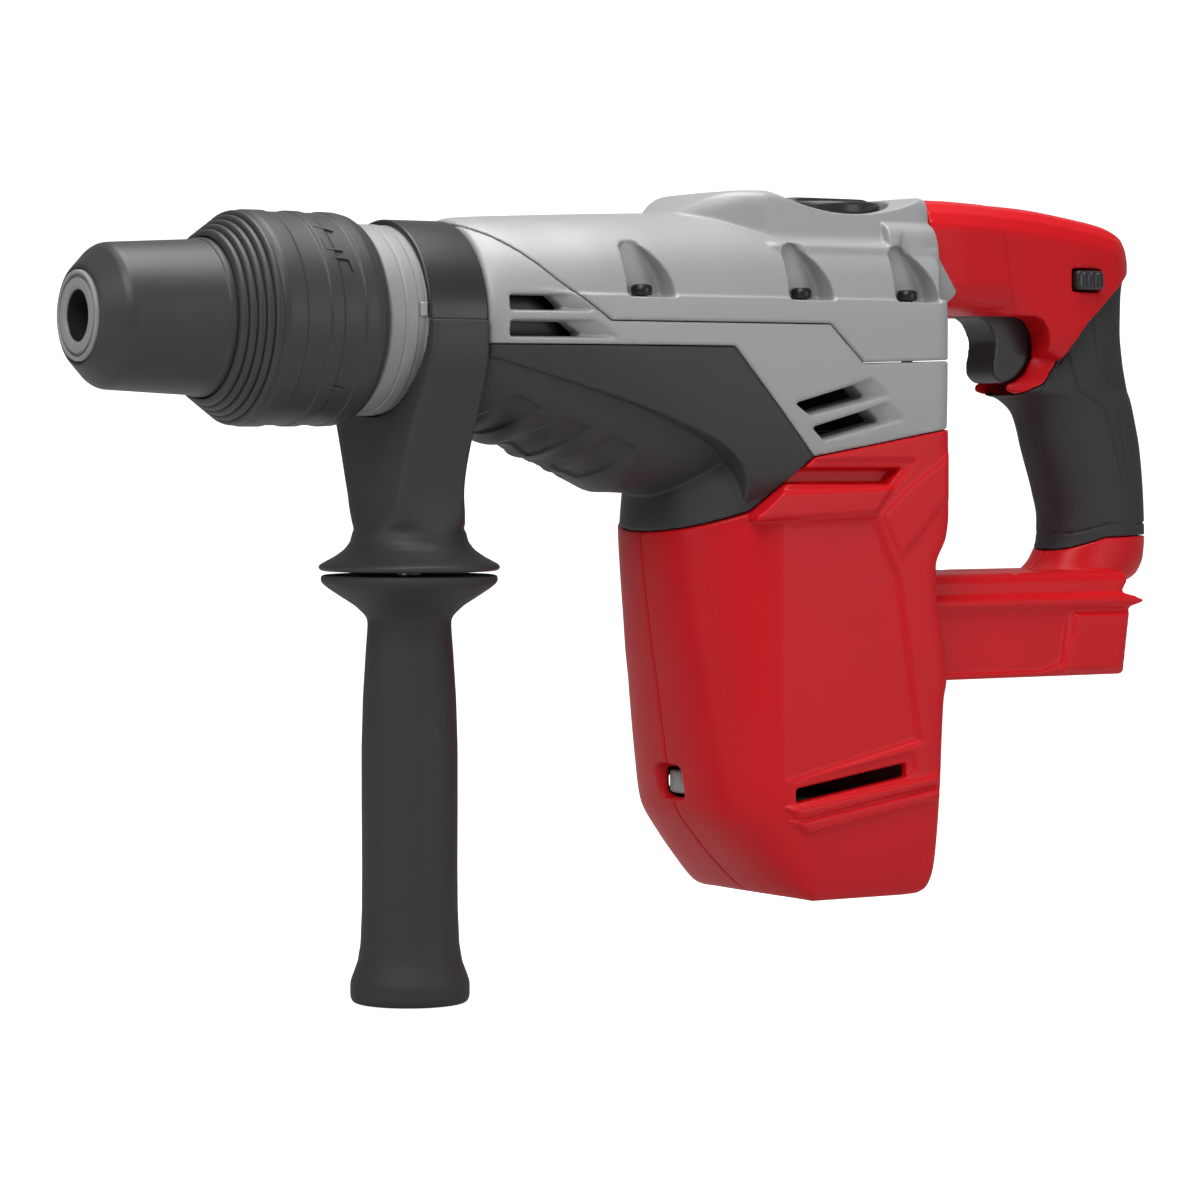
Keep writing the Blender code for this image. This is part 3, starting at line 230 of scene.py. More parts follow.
def both_sides(name, outline, inner, outer):
    """The same prism on the near and the far side of the tool."""
    return [
        prism(f"{name}_near", outline, -outer, -inner),
        prism(f"{name}_far", outline, inner, outer),
    ]


def both_skins(name, rings):
    """Rings drawn for the far side, skinned on the near and the far side."""
    made = []
    for side in SIDES:
        made.append(skin(f"{name}_{side}", [[(x, side * y, z) for x, y, z in ring] for ring in rings]))
    return made


def at_depth(outline, y):
    return [(x, y, z) for x, z in outline]


# %% [markdown]
# ## How a moulded shell is made
#
# A real housing starts as a solid block in the designer's mind: shapes are added, pockets are cut,
# and then every edge gets a radius so that the plastic flows and leaves the mould. The same order
# works here. Booleans add and cut, a voxel remesh lays an even skin over the result, and a short
# smoothing rounds each edge by about a millimetre. A decimate step then drops the points that the
# flat stretches don't need.

# %% Add, cut, round
VOXEL = 0.55


def combine(target, operation, *others):
    for other in others:
        step = target.modifiers.new(other.name, "BOOLEAN")
        step.operation = operation
        step.solver = "MANIFOLD"
        step.object = other


def cut(target, *others):
    combine(target, "DIFFERENCE", *others)


def join(target, *others):
    combine(target, "UNION", *others)


def trim(target, *others):
    combine(target, "INTERSECT", *others)


def keep_mesh(source, name):
    """Applies a helper's modifiers and gives the finished mesh its own object."""
    bpy.context.view_layer.update()
    graph = bpy.context.evaluated_depsgraph_get()
    mesh = bpy.data.meshes.new_from_object(source.evaluated_get(graph))
    mesh.name = name
    made = bpy.data.objects.new(name, mesh)
    bpy.context.scene.collection.objects.link(made)
    return made


def moulded(source, name, voxel=None, rounding=4, share=0.35):
    """Lays an even skin over a cut shape and softens its edges."""
    size = voxel or VOXEL
    relay = source.modifiers.new("relay", "REMESH")
    relay.mode = "VOXEL"
    relay.voxel_size = size * MM
    soften = source.modifiers.new("soften", "SMOOTH")
    soften.factor = 0.5
    soften.iterations = rounding
    thin = source.modifiers.new("thin", "DECIMATE")
    thin.ratio = share
    made = keep_mesh(source, name)
    made.data.shade_smooth()
    print(name, len(made.data.polygons), "faces")
    return made


def clear_helpers():
    for leftover in [o for o in bpy.data.objects if o.get("helper")]:
        bpy.data.objects.remove(leftover, do_unlink=True)


def mirrored(source, name):
    """The other half of a pair of shells."""
    mesh = source.data.copy()
    mesh.transform(Matrix.Diagonal((1, -1, 1, 1)))
    mesh.flip_normals()
    made = bpy.data.objects.new(name, mesh)
    bpy.context.scene.collection.objects.link(made)
    return made


def finish_piece(piece, body, slot, material, *nodes):
    """Gives a piece its finish, fixes it to its body and lets it stand for CAD nodes."""
    piece["helper"] = False
    piece.data.materials.clear()
    piece.data.materials.append(material)
    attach(piece, body)
    if nodes:
        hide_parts(*nodes)
    return piece

# %% [markdown]
# ## Shared surface effects
#
# Moulded plastic is never perfectly even: the mould leaves a fine spark-eroded grain, hands polish
# it in patches and its convex edges are painted a little lighter, partly as wear and partly as a
# painted highlight. These three effects are node groups, so that each material can place them with
# its own numbers. A group only gives out values that change over the surface; the shader itself
# stays in the material.

# %% Helpers for node trees
def new_group(name, inputs, outputs):
    group = bpy.data.node_groups.new(name, "ShaderNodeTree")
    for label, kind, value in inputs:
        socket = group.interface.new_socket(label, in_out="INPUT", socket_type=kind)
        socket.default_value = value
    for label, kind in outputs:
        group.interface.new_socket(label, in_out="OUTPUT", socket_type=kind)
    return group, group.nodes.new("NodeGroupInput"), group.nodes.new("NodeGroupOutput")


def math_node(tree, operation, first, second):
    node = tree.nodes.new("ShaderNodeMath")
    node.operation = operation
    for socket, value in zip(node.inputs, (first, second)):
        if isinstance(value, (int, float)):
            socket.default_value = value
        else:
            tree.links.new(value, socket)
    return node.outputs[0]


def noise(tree, vector, scale, detail=3.0):
    """Noise whose scale is a socket or a number, in features per metre."""
    node = tree.nodes.new("ShaderNodeTexNoise")
    node.inputs["Detail"].default_value = detail
    tree.links.new(vector, node.inputs["Vector"])
    if isinstance(scale, (int, float)):
        node.inputs["Scale"].default_value = scale
    else:
        tree.links.new(scale, node.inputs["Scale"])
    return node.outputs["Fac"]


# %% Grain: the fine texture that a mould leaves
FLOAT = "NodeSocketFloat"

grain_group, gin, gout = new_group("mould_grain", [("Scale", FLOAT, 1500.0)], [("Height", FLOAT)])
position = grain_group.nodes.new("ShaderNodeTexCoord").outputs["Object"]
cells = grain_group.nodes.new("ShaderNodeTexVoronoi")
grain_group.links.new(position, cells.inputs["Vector"])
grain_group.links.new(gin.outputs["Scale"], cells.inputs["Scale"])
fine = noise(grain_group, position, gin.outputs["Scale"])
pits = math_node(grain_group, "MULTIPLY", cells.outputs["Distance"], 0.5)
height = math_node(grain_group, "ADD", pits, fine)
grain_group.links.new(height, gout.inputs["Height"])

# %% Handling: soft patches that hands leave
handling_group, hin, hout = new_group(
    "handling", [("Roughness", FLOAT, 0.5), ("Spread", FLOAT, 0.1)], [
        ("Roughness", FLOAT), ("Patch", FLOAT),
    ]
)
position = handling_group.nodes.new("ShaderNodeTexCoord").outputs["Object"]
patch = noise(handling_group, position, 28.0, 4.0)
speck = noise(handling_group, position, 260.0, 2.0)
centred = math_node(handling_group, "SUBTRACT", patch, 0.5)
blended = math_node(handling_group, "ADD", centred, math_node(handling_group, "MULTIPLY", speck, 0.25))
shift = math_node(handling_group, "MULTIPLY", blended, hin.outputs["Spread"])
shifted = math_node(handling_group, "ADD", hin.outputs["Roughness"], shift)
handling_group.links.new(shifted, hout.inputs["Roughness"])
handling_group.links.new(patch, hout.inputs["Patch"])

# %% Edge wear and painted highlight: a mask that is bright along convex edges
wear_and_highlight_group, wear_light_in, wear_light_out = new_group(
    "edge_wear", [("Amount", FLOAT, 0.5), ("Start", FLOAT, 0.53)], [("Mask", FLOAT)]
)
pointed = wear_and_highlight_group.nodes.new("ShaderNodeNewGeometry").outputs["Pointiness"]
position = wear_and_highlight_group.nodes.new("ShaderNodeTexCoord").outputs["Object"]
edge = math_node(wear_and_highlight_group, "SUBTRACT", pointed, wear_light_in.outputs["Start"])
edge = math_node(wear_and_highlight_group, "MULTIPLY", edge, 14.0)
broken = math_node(wear_and_highlight_group, "MULTIPLY", edge, noise(wear_and_highlight_group, position, 420.0))
clamped = wear_and_highlight_group.nodes.new("ShaderNodeClamp")
amount = math_node(wear_and_highlight_group, "MULTIPLY", broken, wear_light_in.outputs["Amount"])
wear_and_highlight_group.links.new(amount, clamped.inputs["Value"])
wear_and_highlight_group.links.new(clamped.outputs[0], wear_light_out.inputs["Mask"])
print("groups", [group.name for group in bpy.data.node_groups])

# %% [markdown]
# ## The finishes
#
# Every finish shares one recipe: a base colour with a slightly different tone in the patches, a
# lighter tone along the edges that is partly wear and partly a painted highlight, roughness that
# wanders a little and a fine bump. The numbers are what makes it paint, satin plastic, rubber or
# ground steel.

# %% One recipe for every finish
def finish(name, colour, roughness, metallic=0.0, grain=1500.0, depth=0.02, spread=0.12, tone=0.06, wear_and_highlight=0.3,
           wear_and_highlight_colour=None, specular=0.5):
    """A Principled material with grain, handling patches and lighter edges, partly wear and partly a painted
    highlight.
    """
    made = bpy.data.materials.new(name)
    made.use_nodes = True
    tree = made.node_tree
    shader = tree.nodes["Principled BSDF"]
    shader.inputs["Metallic"].default_value = metallic
    shader.inputs["Specular IOR Level"].default_value = specular
    handled = tree.nodes.new("ShaderNodeGroup")
    handled.node_tree = handling_group
    handled.inputs["Roughness"].default_value = roughness
    handled.inputs["Spread"].default_value = spread
    tree.links.new(handled.outputs["Roughness"], shader.inputs["Roughness"])
    # The lighter colour along convex edges is partly wear and partly a painted highlight.
    worn_and_lit = tree.nodes.new("ShaderNodeGroup")
    worn_and_lit.node_tree = wear_and_highlight_group
    worn_and_lit.inputs["Amount"].default_value = wear_and_highlight
    tones = tree.nodes.new("ShaderNodeMix")
    tones.data_type = "RGBA"
    tones.inputs["A"].default_value = (*[c * (1 - tone) for c in colour], 1)
    tones.inputs["B"].default_value = (*[min(1, c * (1 + tone)) for c in colour], 1)
    tree.links.new(handled.outputs["Patch"], tones.inputs["Factor"])
    edges = tree.nodes.new("ShaderNodeMix")
    edges.data_type = "RGBA"
    tree.links.new(worn_and_lit.outputs["Mask"], edges.inputs["Factor"])
    tree.links.new(tones.outputs["Result"], edges.inputs["A"])
    worn_lit_colour = wear_and_highlight_colour or [min(1, c * 1.5 + 0.03) for c in colour]
    edges.inputs["B"].default_value = (*worn_lit_colour, 1)
    tree.links.new(edges.outputs["Result"], shader.inputs["Base Color"])
    textured = tree.nodes.new("ShaderNodeGroup")
    textured.node_tree = grain_group
    textured.inputs["Scale"].default_value = grain
    bump = tree.nodes.new("ShaderNodeBump")
    bump.inputs["Strength"].default_value = 0.6
    bump.inputs["Distance"].default_value = depth * MM
    tree.links.new(textured.outputs["Height"], bump.inputs["Height"])
    tree.links.new(bump.outputs["Normal"], shader.inputs["Normal"])
    return made


# %% Paint, plastics, rubber and metals
CAST_GREY = finish(
    "cast_grey_paint", (0.37, 0.375, 0.38), 0.45, metallic=0.15, grain=1100, depth=0.03, wear_and_highlight=0.25,
)
RED_SHELL = finish(
    "red_satin_plastic", (0.64, 0.004, 0.010), 0.40, grain=1700, depth=0.012, tone=0.05, wear_and_highlight=0.2,
    wear_and_highlight_colour=(0.8, 0.05, 0.06), specular=0.3,
)
DARK_SHELL = finish("charcoal_shell", (0.034, 0.035, 0.037), 0.5, grain=1300, depth=0.03, wear_and_highlight=0.3)
CHUCK_PLASTIC = finish("chuck_plastic", (0.036, 0.037, 0.039), 0.44, grain=1500, depth=0.02, wear_and_highlight=0.35)
SATIN_BLACK = finish("satin_black", (0.022, 0.023, 0.025), 0.34, grain=1500, depth=0.015, wear_and_highlight=0.3)
SOFT_GRIP = finish("soft_grip_rubber", (0.028, 0.029, 0.031), 0.62, grain=900, depth=0.05, wear_and_highlight=0.3)
NECK_RING = finish(
    "neck_casting", (0.30, 0.305, 0.31), 0.5, metallic=0.15, grain=1600, depth=0.02, wear_and_highlight=0.3,
)
STEEL = finish("ground_steel", (0.55, 0.55, 0.56), 0.3, metallic=1.0, grain=2200, depth=0.01, wear_and_highlight=0.2)
BLACK_STEEL = finish(
    "blackened_steel", (0.04, 0.04, 0.043), 0.35, metallic=0.8, grain=1800, depth=0.012, wear_and_highlight=0.6,
)
CONTACT = finish("contact_metal", (0.72, 0.52, 0.22), 0.28, metallic=1.0, grain=2200, depth=0.008)
SEAL = finish("seal_rubber", (0.30, 0.305, 0.31), 0.55, grain=1400, depth=0.03, wear_and_highlight=0.3)
DIAL_GREY = finish("dial_grey", (0.34, 0.35, 0.36), 0.45, grain=1600, depth=0.01)
BOARD = finish("coated_board", (0.03, 0.10, 0.05), 0.35, grain=600, depth=0.02)
print("materials", len(bpy.data.materials))

# %% [markdown]
# ## Cross-sections
#
# The gear case is a row of superellipses: exponent 2 is an ellipse, and a larger one is squarer. The
# sides above the crease stand in a little, which gives the case the long shoulder line that carries
# the screw pockets.

# %% Rings and outlines
CASE = [
    (136.0, 33.4, 33.2, -34.5, 2.0, 2.0),
    (136.8, 34.6, 34.3, -35.6, 2.0, 2.0),
    (139.0, 35.6, 35.1, -37.0, 2.0, 2.0),
    (143.0, 36.5, 35.6, -38.5, 2.1, 2.0),
    (160.0, 40.0, 36.5, -43.0, 2.2, 2.2),
    (180.0, 43.0, 37.4, -51.0, 2.4, 2.4),
    (202.0, 44.0, 38.3, -61.0, 2.5, 2.7),
    (226.0, 44.0, 39.0, -74.0, 2.5, 3.2),
    (316.0, 44.0, 39.0, -80.0, 2.5, 4.0),
    (320.0, 43.4, 38.6, -79.5, 2.5, 4.0),
    (322.0, 41.0, 37.0, -78.0, 2.5, 4.0),
]


def ease(value):
    value = min(1.0, max(0.0, value))
    return value * value * (3 - 2 * value)


def signed_power(value, exponent):
    return math.copysign(abs(value) ** exponent, value)


def case_ring(x, half, top, bottom, upper, lower, share=1.0):
    """One cross-section of the gear case, with its crease on the upper half."""
    crease = 11.5 - 2.5 * ease((x - 143) / 30)
    inset = 1 - 0.024 * ease((x - 146) / 26)
    start = math.asin((crease / top) ** (upper / 2))
    angles = [start * i / 20 for i in range(21)]
    angles += [start + (math.pi - 2 * start) * i / 90 for i in range(91)]
    angles += [math.pi - start + start * i / 20 for i in range(21)]
    ring = []
    for i, angle in enumerate(angles):
        reach = half * (inset if 21 <= i <= 111 else 1.0)
        z = top * max(0.0, math.sin(angle)) ** (2 / upper)
        if i in (20, 112):
            z -= 0.3
        ring.append((x, share * reach * signed_power(math.cos(angle), 2 / upper), z))
    for i in range(1, 100):
        angle = math.pi + math.pi * i / 100
        z = bottom * abs(math.sin(angle)) ** (2 / lower)
        ring.append((x, share * half * signed_power(math.cos(angle), 2 / lower), z))
    return ring


def case_body(name):
    return skin(name, [case_ring(*row) for row in refine(CASE, 2.0)])


def case_half(x):
    """Half of the case's width at that place."""
    for (x0, half0, *_), (x1, half1, *_) in zip(CASE, CASE[1:]):
        if x0 <= x <= x1:
            return half0 + (half1 - half0) * (x - x0) / (x1 - x0)
    return CASE[-1][1]


def grow(outline, distance):
    """The outline moved outwards by a distance, with its corners kept sharp."""
    area = sum(a[0] * b[1] - b[0] * a[1] for a, b in zip(outline, outline[1:] + outline[:1]))
    turn = 1 if area > 0 else -1
    moved = []
    for i, here in enumerate(outline):
        before, after = outline[i - 1], outline[(i + 1) % len(outline)]
        normals = []
        for a, b in ((before, here), (here, after)):
            length = math.dist(a, b)
            normals.append(((b[1] - a[1]) / length * turn, (a[0] - b[0]) / length * turn))
        (ax, az), (bx, bz) = normals
        reach = distance / max(0.35, 1 + ax * bx + az * bz)
        moved.append((here[0] + (ax + bx) * reach, here[1] + (az + bz) * reach))
    return moved


def ribbon(line, width):
    """An open line given a width, as a closed outline."""
    sides = ([], [])
    for i, here in enumerate(line):
        before, after = line[max(0, i - 1)], line[min(len(line) - 1, i + 1)]
        length = math.dist(before, after)
        across = ((before[1] - after[1]) / length, (after[0] - before[0]) / length)
        for side, points in zip((1, -1), sides):
            points.append(
                (here[0] + side * across[0] * width / 2, here[1] + side * across[1] * width / 2)
            )
    return sides[0] + sides[1][::-1]


def side_pocket(name, outline, depth, flare=0.0, surface=44.0, clear=8.0):
    """A pocket in both sides whose walls slope out by the flare as they come to the surface."""
    levels = (surface - depth, 0.0), (surface, flare), (surface + clear, flare * (1 + clear / depth))
    return both_skins(name, [at_depth(grow(outline, growth), y) for y, growth in levels])


# %% [markdown]
# ## The gear case: cover, housing and the hollow inside
#
# The top cover and the gear housing are one cast body, parted along a line that drops behind the
# middle. The hollow inside is real, so the cooling slots look into the dark and not onto a wall.

# %% Parting lines, seen from the side
SEAM = [
    (130, 60), (130, 34.2), (137, 31.9), (143, 28.2), (149, 23.7), (155, 18.6), (160, 14), (179, 0),
    (269, 0), (283.5, -13.5), (342, -11.5), (342, 60),
]
DARK_EDGE = [
    (130, -8.2), (228.7, -8.2), (263.4, -46.4), (240.5, -65.3), (211.4, -74.9), (205, -77.0),
    (198, -78.5), (150, -78.5), (130, -60),
]
RED_EDGE = [
    (170, -78.5), (198, -78.5), (205, -77.0), (211.4, -74.9), (240.5, -65.3), (263.4, -46.4),
    (342, -33.0), (342, -223), (170, -223),
]


def hollow(name):
    """The rooms for the hammer, the crank and the idler gear."""
    return [
        rod(f"{name}_barrel", 126, 106, 31.0),
        block(f"{name}_crank", (222, -31, -57), (316, 31, 30)),
        rod(f"{name}_idler", -51, 34, 19.5, "Z", (208.5, 0, 0)),
    ]


# %% The selector pad on top
PAD = [
    (219, 5, 36.0), (223, 10, 38.0), (227, 14.5, 40.2), (231, 18.2, 42.6), (235, 21.6, 44.6),
    (240, 25.0, 46.2), (246, 28.0, 46.9), (253, 30, 47), (300, 30, 47), (318, 29.8, 46.8),
    (322, 29.2, 46.2),
]
FLARE = [
    (0, 20), (37, 20), (36.6, 26.6), (35.2, 28.3), (33.0, 29.3), (31.4, 31.2), (30.5, 34),
    (30.1, 38), (29.7, 42), (28.6, 44.9), (26.2, 46.5), (22.5, 47), (0, 47.2),
]


def pad_ring(x, half, top):
    """The pad's side runs out into the shoulder of the case in a hollow curve."""
    curve = refine([(i, *point) for i, point in enumerate(FLARE)], 0.25)
    ring = []
    for _, y, z in curve:
        ring.append((x, y * half / 30, 20 + (z - 20) * (top - 20) / 27))
    return ring + [(x, -y, z) for x, y, z in ring[-2:0:-1]]


pad = skin("pad_form", [pad_ring(*row) for row in refine(PAD, 2.0)])

# %% Screw pockets and the knob's seat
SCREWS = (194.2, 260.6, 306.5)
SCREW_Y = 37.5
SCREW_HOLE_R = 2.4


def pocket_outline(x):
    """Upright front wall, flat floor and a rear wall that leans over."""
    front, rear, floor, top = x - 7.6, x + 10.4, 8.6, 28.2
    outline = [(front, floor), (rear, floor)]
    for i in range(1, 9):
        t = i / 8
        outline.append((rear - 9.6 * t * t, floor + (top - 2.5 - floor) * t))
    outline += [(rear - 11, top - 0.6), (front + 4, top), (front + 1.2, top - 1.2), (front, top - 4)]
    return outline


POCKET_WALLS = (32.8, -0.6), (34.0, 0.0), (44.0, 0.5), (50.0, 3.5)  # (distance out, growth)
pockets = []
for x in SCREWS:
    outline = pocket_outline(x)
    pockets += both_skins(
        f"pocket_{x:.0f}", [at_depth(grow(outline, more), y) for y, more in POCKET_WALLS],
    )


def screw_holes(name):
    """The six holes down through the pocket floors."""
    places = [(x, side * SCREW_Y, 0) for x in SCREWS for side in SIDES]
    return [rod(f"{name}_{i}", -22, 60, SCREW_HOLE_R, "Z", place) for i, place in enumerate(places)]


knob_seat = rod("knob_seat", 39.2, 20, 23, "Z", (KNOB_X, 0, 0))
knob_scoop = rod("knob_scoop", -60, 120, 80, "Y", (288, 0, 119.4), 128)
knob_bore = rod("knob_bore", 20, 40, 6.6, "Z", (KNOB_X, 0, 0))

# %% The cheeks that reach back over the rear handle
CHEEK = [
    (300, 5.2), (324.0, 5.2), (331.4, 10.8), (332.8, 12.6), (322.6, 24.5), (322.0, 37.0),
    (321.0, 39.0), (300, 40),
]


def cheek_ring(x, half):
    ring = []
    for i in range(80):
        angle = 2 * math.pi * (i + 0.5) / 80
        y, z = signed_power(math.cos(angle), 2 / 5), signed_power(math.sin(angle), 2 / 5)
        ring.append((x, half * y, 21 + 17.5 * z))
    return ring


cheek_side = prism("cheek_side", CHEEK, -60, 60)
cheeks = skin(
    "cheeks",
    [cheek_ring(x, half) for x, half in ((300, 36.5), (316, 36.0), (324, 34.6), (335, 31.8))],
)
trim(cheeks, cheek_side)
BACK_CORNER = [
    (311.5, 48), (316.5, 43.2), (320.5, 38.0), (325.5, 34.2), (340, 33), (340, 60), (311.5, 60),
]
back_corners = []
for side in SIDES:
    corner = [(x, side * y) for x, y in BACK_CORNER]
    back_corners.append(prism(f"back_corner_{side}", corner, 9.3, 60, "XY"))

# %% Cast the cover
cover_form = case_body("cover_form")
join(cover_form, pad)
trim(cover_form, prism("cover_region", grow(SEAM, -GAP / 2), -60, 60))
cut(cover_form, *back_corners)
join(cover_form, cheeks)
cut(cover_form, *hollow("cover")[:2], knob_seat, knob_scoop, knob_bore, *pockets, *screw_holes("shank"))
gear_cover = moulded(cover_form, "gear_cover_shell")
finish_piece(gear_cover, "housing", "grey_case", CAST_GREY, "gear_cover")

# %% Cast the housing with its cooling slots
def louvre(name, outline, opening, depth=4.2):
    """A slot whose mouth is wider than its opening, so one end runs out in a ramp."""
    rings = []
    for level in (16.0, depth, 0.2, -6.0):
        flat = opening if level >= depth else outline
        rings.append([(x, case_half(x) - level, z) for x, z in flat])
    return both_skins(name, rings)


slots = louvre(
    "vent_a", [(142.8, 8.7), (165.4, 8.7), (174.2, 3.0), (142.8, 3.0)],
    [(143.4, 8.2), (159, 8.2), (164, 3.4), (143.4, 3.4)],
)
slots += louvre(
    "vent_b", [(142.8, 0.0), (172.6, 0.0), (182.2, -6.0), (142.8, -6.0)],
    [(143.4, -0.6), (164, -0.6), (171, -5.4), (143.4, -5.4)],
)
slots += louvre(
    "vent_c", [(253.6, -27.6), (261.0, -32.3), (295.0, -25.0), (287.6, -18.8)],
    [(255.4, -27.9), (261.0, -31.0), (286.2, -25.4), (281.2, -21.0)],
)
slots += louvre(
    "vent_d", [(261.0, -35.8), (267.0, -41.2), (302.0, -33.2), (294.2, -27.2)],
    [(262.6, -36.3), (267.0, -40.0), (292.4, -33.9), (287.4, -29.4)],
)

housing_form = case_body("housing_form")
above = prism("above_seam", grow(SEAM, GAP / 2), -60, 60)
beside_dark = prism("beside_dark", grow(DARK_EDGE, GAP / 2), -60, 60)
beside_red = prism("beside_red", grow(RED_EDGE, GAP / 2), -60, 60)
cut(housing_form, above, beside_dark, beside_red, *hollow("housing"), *slots, *screw_holes("thread"))
gear_housing = moulded(housing_form, "gear_housing_shell")
finish_piece(gear_housing, "housing", "grey_case", CAST_GREY, "gear_housing")

# %% [markdown]
# ## The dark lower cover
#
# Its flat upper panel is flush with the gear housing. Below the long crease it turns into a rounder,
# narrower body with three slanting finger recesses and a rippled underside.

# %% Two bodies that meet at the crease
CREASE = [
    (130, -11.0), (142, -13.6), (150.1, -16.0), (167.1, -20.9), (179, -24.4), (191.6, -28.2),
    (206, -33.4), (220.7, -39.4), (226.5, -42.6), (230.7, -45.6), (234.6, -49.6), (237.0, -54.6),
    (238.0, -60.0), (238.2, -72),
]


def lower_ring(x, half, top, bottom, upper, lower, shrink=0.0):
    """The rounder body below the crease, with ripples along its underside."""
    ripple = 0.8 * math.sin((x - 146) * 2 * math.pi / 13.0) * ease((x - 141) / 6) * ease((186 - x) / 6)
    bottom = max(bottom, -59.6 - 4.0 * ease((x - 200) / 60)) * 0.985
    half, bottom = half * (0.95 - 0.03 * ease((x - 150) / 40)) - shrink, bottom + ripple + shrink
    power = 2.15 + 0.25 * ease((x - 190) / 40)
    ring = []
    for i in range(160):
        angle = 2 * math.pi * (i + 0.5) / 160
        height = top if angle < math.pi else -bottom
        y = half * signed_power(math.cos(angle), 2 / power)
        ring.append((x, y, height * signed_power(math.sin(angle), 2 / power)))
    return ring


def plan_ring(z, front, rear, half, front_power, rear_power=30.0, middle=268.0, count=240):
    """A ring in plan view, with its own roundness in front of and behind its middle."""
    ring = []
    for i in range(count):
        angle = 2 * math.pi * (i + 0.5) / count
        ahead = math.cos(angle) < 0
        power = front_power if ahead else rear_power
        reach = middle - front if ahead else rear - middle
        x = middle + reach * signed_power(math.cos(angle), 2 / power)
        ring.append((x, half * signed_power(math.sin(angle), 2 / power), z))
    return ring


BULGE = [
    (-40.0, 224.0, 300, 39.0, 2.1), (-52.0, 219.5, 300, 40.0, 2.15), (-60.0, 218.0, 300, 40.8, 2.2),
    (-70.0, 217.8, 300, 42.0, 2.25), (-78.0, 218.3, 300, 43.2, 2.28),
    (-84.0, 218.8, 300, 43.6, 2.3),
]


def bulge_rings(shrink=0.0):
    """Where the cover turns down to meet the round front of the motor housing."""
    rows = refine(BULGE, 1.5)
    return [
        plan_ring(z, front + shrink, rear, half - shrink, power)
        for z, front, rear, half, power in rows
    ]


lower_form = skin("lower_form", [lower_ring(*row) for row in refine(CASE, 1.0)])
join(lower_form, skin("bulge", bulge_rings()))
panel_form = case_body("panel_form")
trim(panel_form, prism("panel_side", CREASE + [(300, -72), (300, 20), (130, 20)], -60, 60))
join(lower_form, panel_form)
core = skin("recess_core", [lower_ring(*row, 1.1) for row in refine(CASE, 1.0)])
for number, corners in enumerate(
    (
        [
            (150.5, -25.3), (160.0, -29.3), (150.0, -37.5), (143.5, -42.0), (134.0, -38.0),
            (141.0, -32.0),
        ],
        [
            (169.5, -32.0), (179.5, -36.0), (169.0, -45.5), (160.3, -51.0), (150.0, -46.0),
            (160.0, -39.5),
        ],
        [
            (188.3, -39.0), (198.4, -43.1), (190.0, -52.0), (181.0, -60.0), (170.0, -56.0),
            (180.0, -46.5),
        ],
    ),
    1,
):
    for cutter in both_sides(f"finger_{number}", corners, 4.0, 60):
        cut(cutter, core)
        cut(lower_form, cutter)
corners = [math.radians(60 * i) for i in range(6)]
hexagon = [(146.0 + 3.2 * math.cos(angle), -38.5 + 3.2 * math.sin(angle)) for angle in corners]
cut(lower_form, *both_sides("hexagon", hexagon, 10, 60))
trim(lower_form, prism("dark_region", grow(DARK_EDGE, -GAP / 2), -60, 60))
wall = skin("wall_core", [lower_ring(*row, 4.0) for row in refine(CASE, 2.0)])
join(wall, skin("bulge_core", bulge_rings(4.0)))
for room in (*hollow("lower"), block("motor_room", (228, -36, -90), (330, 36, -56))):
    trim(room, wall)
    cut(lower_form, room)
lower_cover = moulded(lower_form, "lower_cover_shell", rounding=5)
finish_piece(lower_cover, "housing", "dark_plastic", DARK_SHELL, "lower_cover")

# %% [markdown]
# ## The motor housing
#
# Two halves of one red shell hang below the gear case. The outside is a stack of plan sections,
# round at the front and almost square at the back. The side carries a sunken panel, two cooling slots
# with ridges under them and, at the front, a window for the speed dial.

# %% A stack of plan sections
MOTOR = [
    (-31.0, 216.0, 322.0, MOTOR_HALF, 2.2),
    (-67.0, 217.6, 322.4, MOTOR_HALF, 2.25),
    (-75.0, 218.1, 321.3, MOTOR_HALF, 2.28),
    (-85.2, 219.0, 316.8, MOTOR_HALF, 2.3),
    (-92.3, 220.0, 316.8, MOTOR_HALF, 2.35),
    (-103.0, 221.4, 318.0, MOTOR_HALF, 2.4),
    (-117.0, 223.4, 320.5, MOTOR_HALF, 2.5),
    (-126.0, 225.0, 321.8, MOTOR_HALF, 2.55),
    (-133.0, 226.0, 320.5, MOTOR_HALF, 2.6),
    (-156.0, 229.5, 319.3, MOTOR_HALF, 2.7),
    (-170.0, 233.0, 318.8, 43.3, 2.9),
    (-182.0, 242.0, 318.4, 42.5, 3.0),
    (-193.0, 252.5, 318.0, 41.0, 3.0),
    (-199.5, 260.0, 316.6, 39.2, 3.0),
    (-202.2, 265.0, 314.0, 36.8, 3.0),
    (-203.0, 270.0, 310.5, 33.0, 3.0),
]


motor_form = skin("motor_form", [plan_ring(*row) for row in refine(MOTOR, 1.5)])
hollow_rows = [row for row in refine(MOTOR, 4.0) if -196 < row[0] < -56]
motor_hollow = skin(
    "motor_hollow",
    [
        plan_ring(z, front + 5, rear - 5, half - 4.5, power)
        for z, front, rear, half, power in hollow_rows
    ],
)

# %% Ridges, sunken panel and slots on its sides
def side_ridge(name, outline, inner, outer, narrow):
    """A raised bar on both sides that narrows towards its top face."""
    levels = (outline, inner - 6), (outline, inner), (grow(outline, -narrow), outer)
    return both_skins(name, [at_depth(*level) for level in levels])


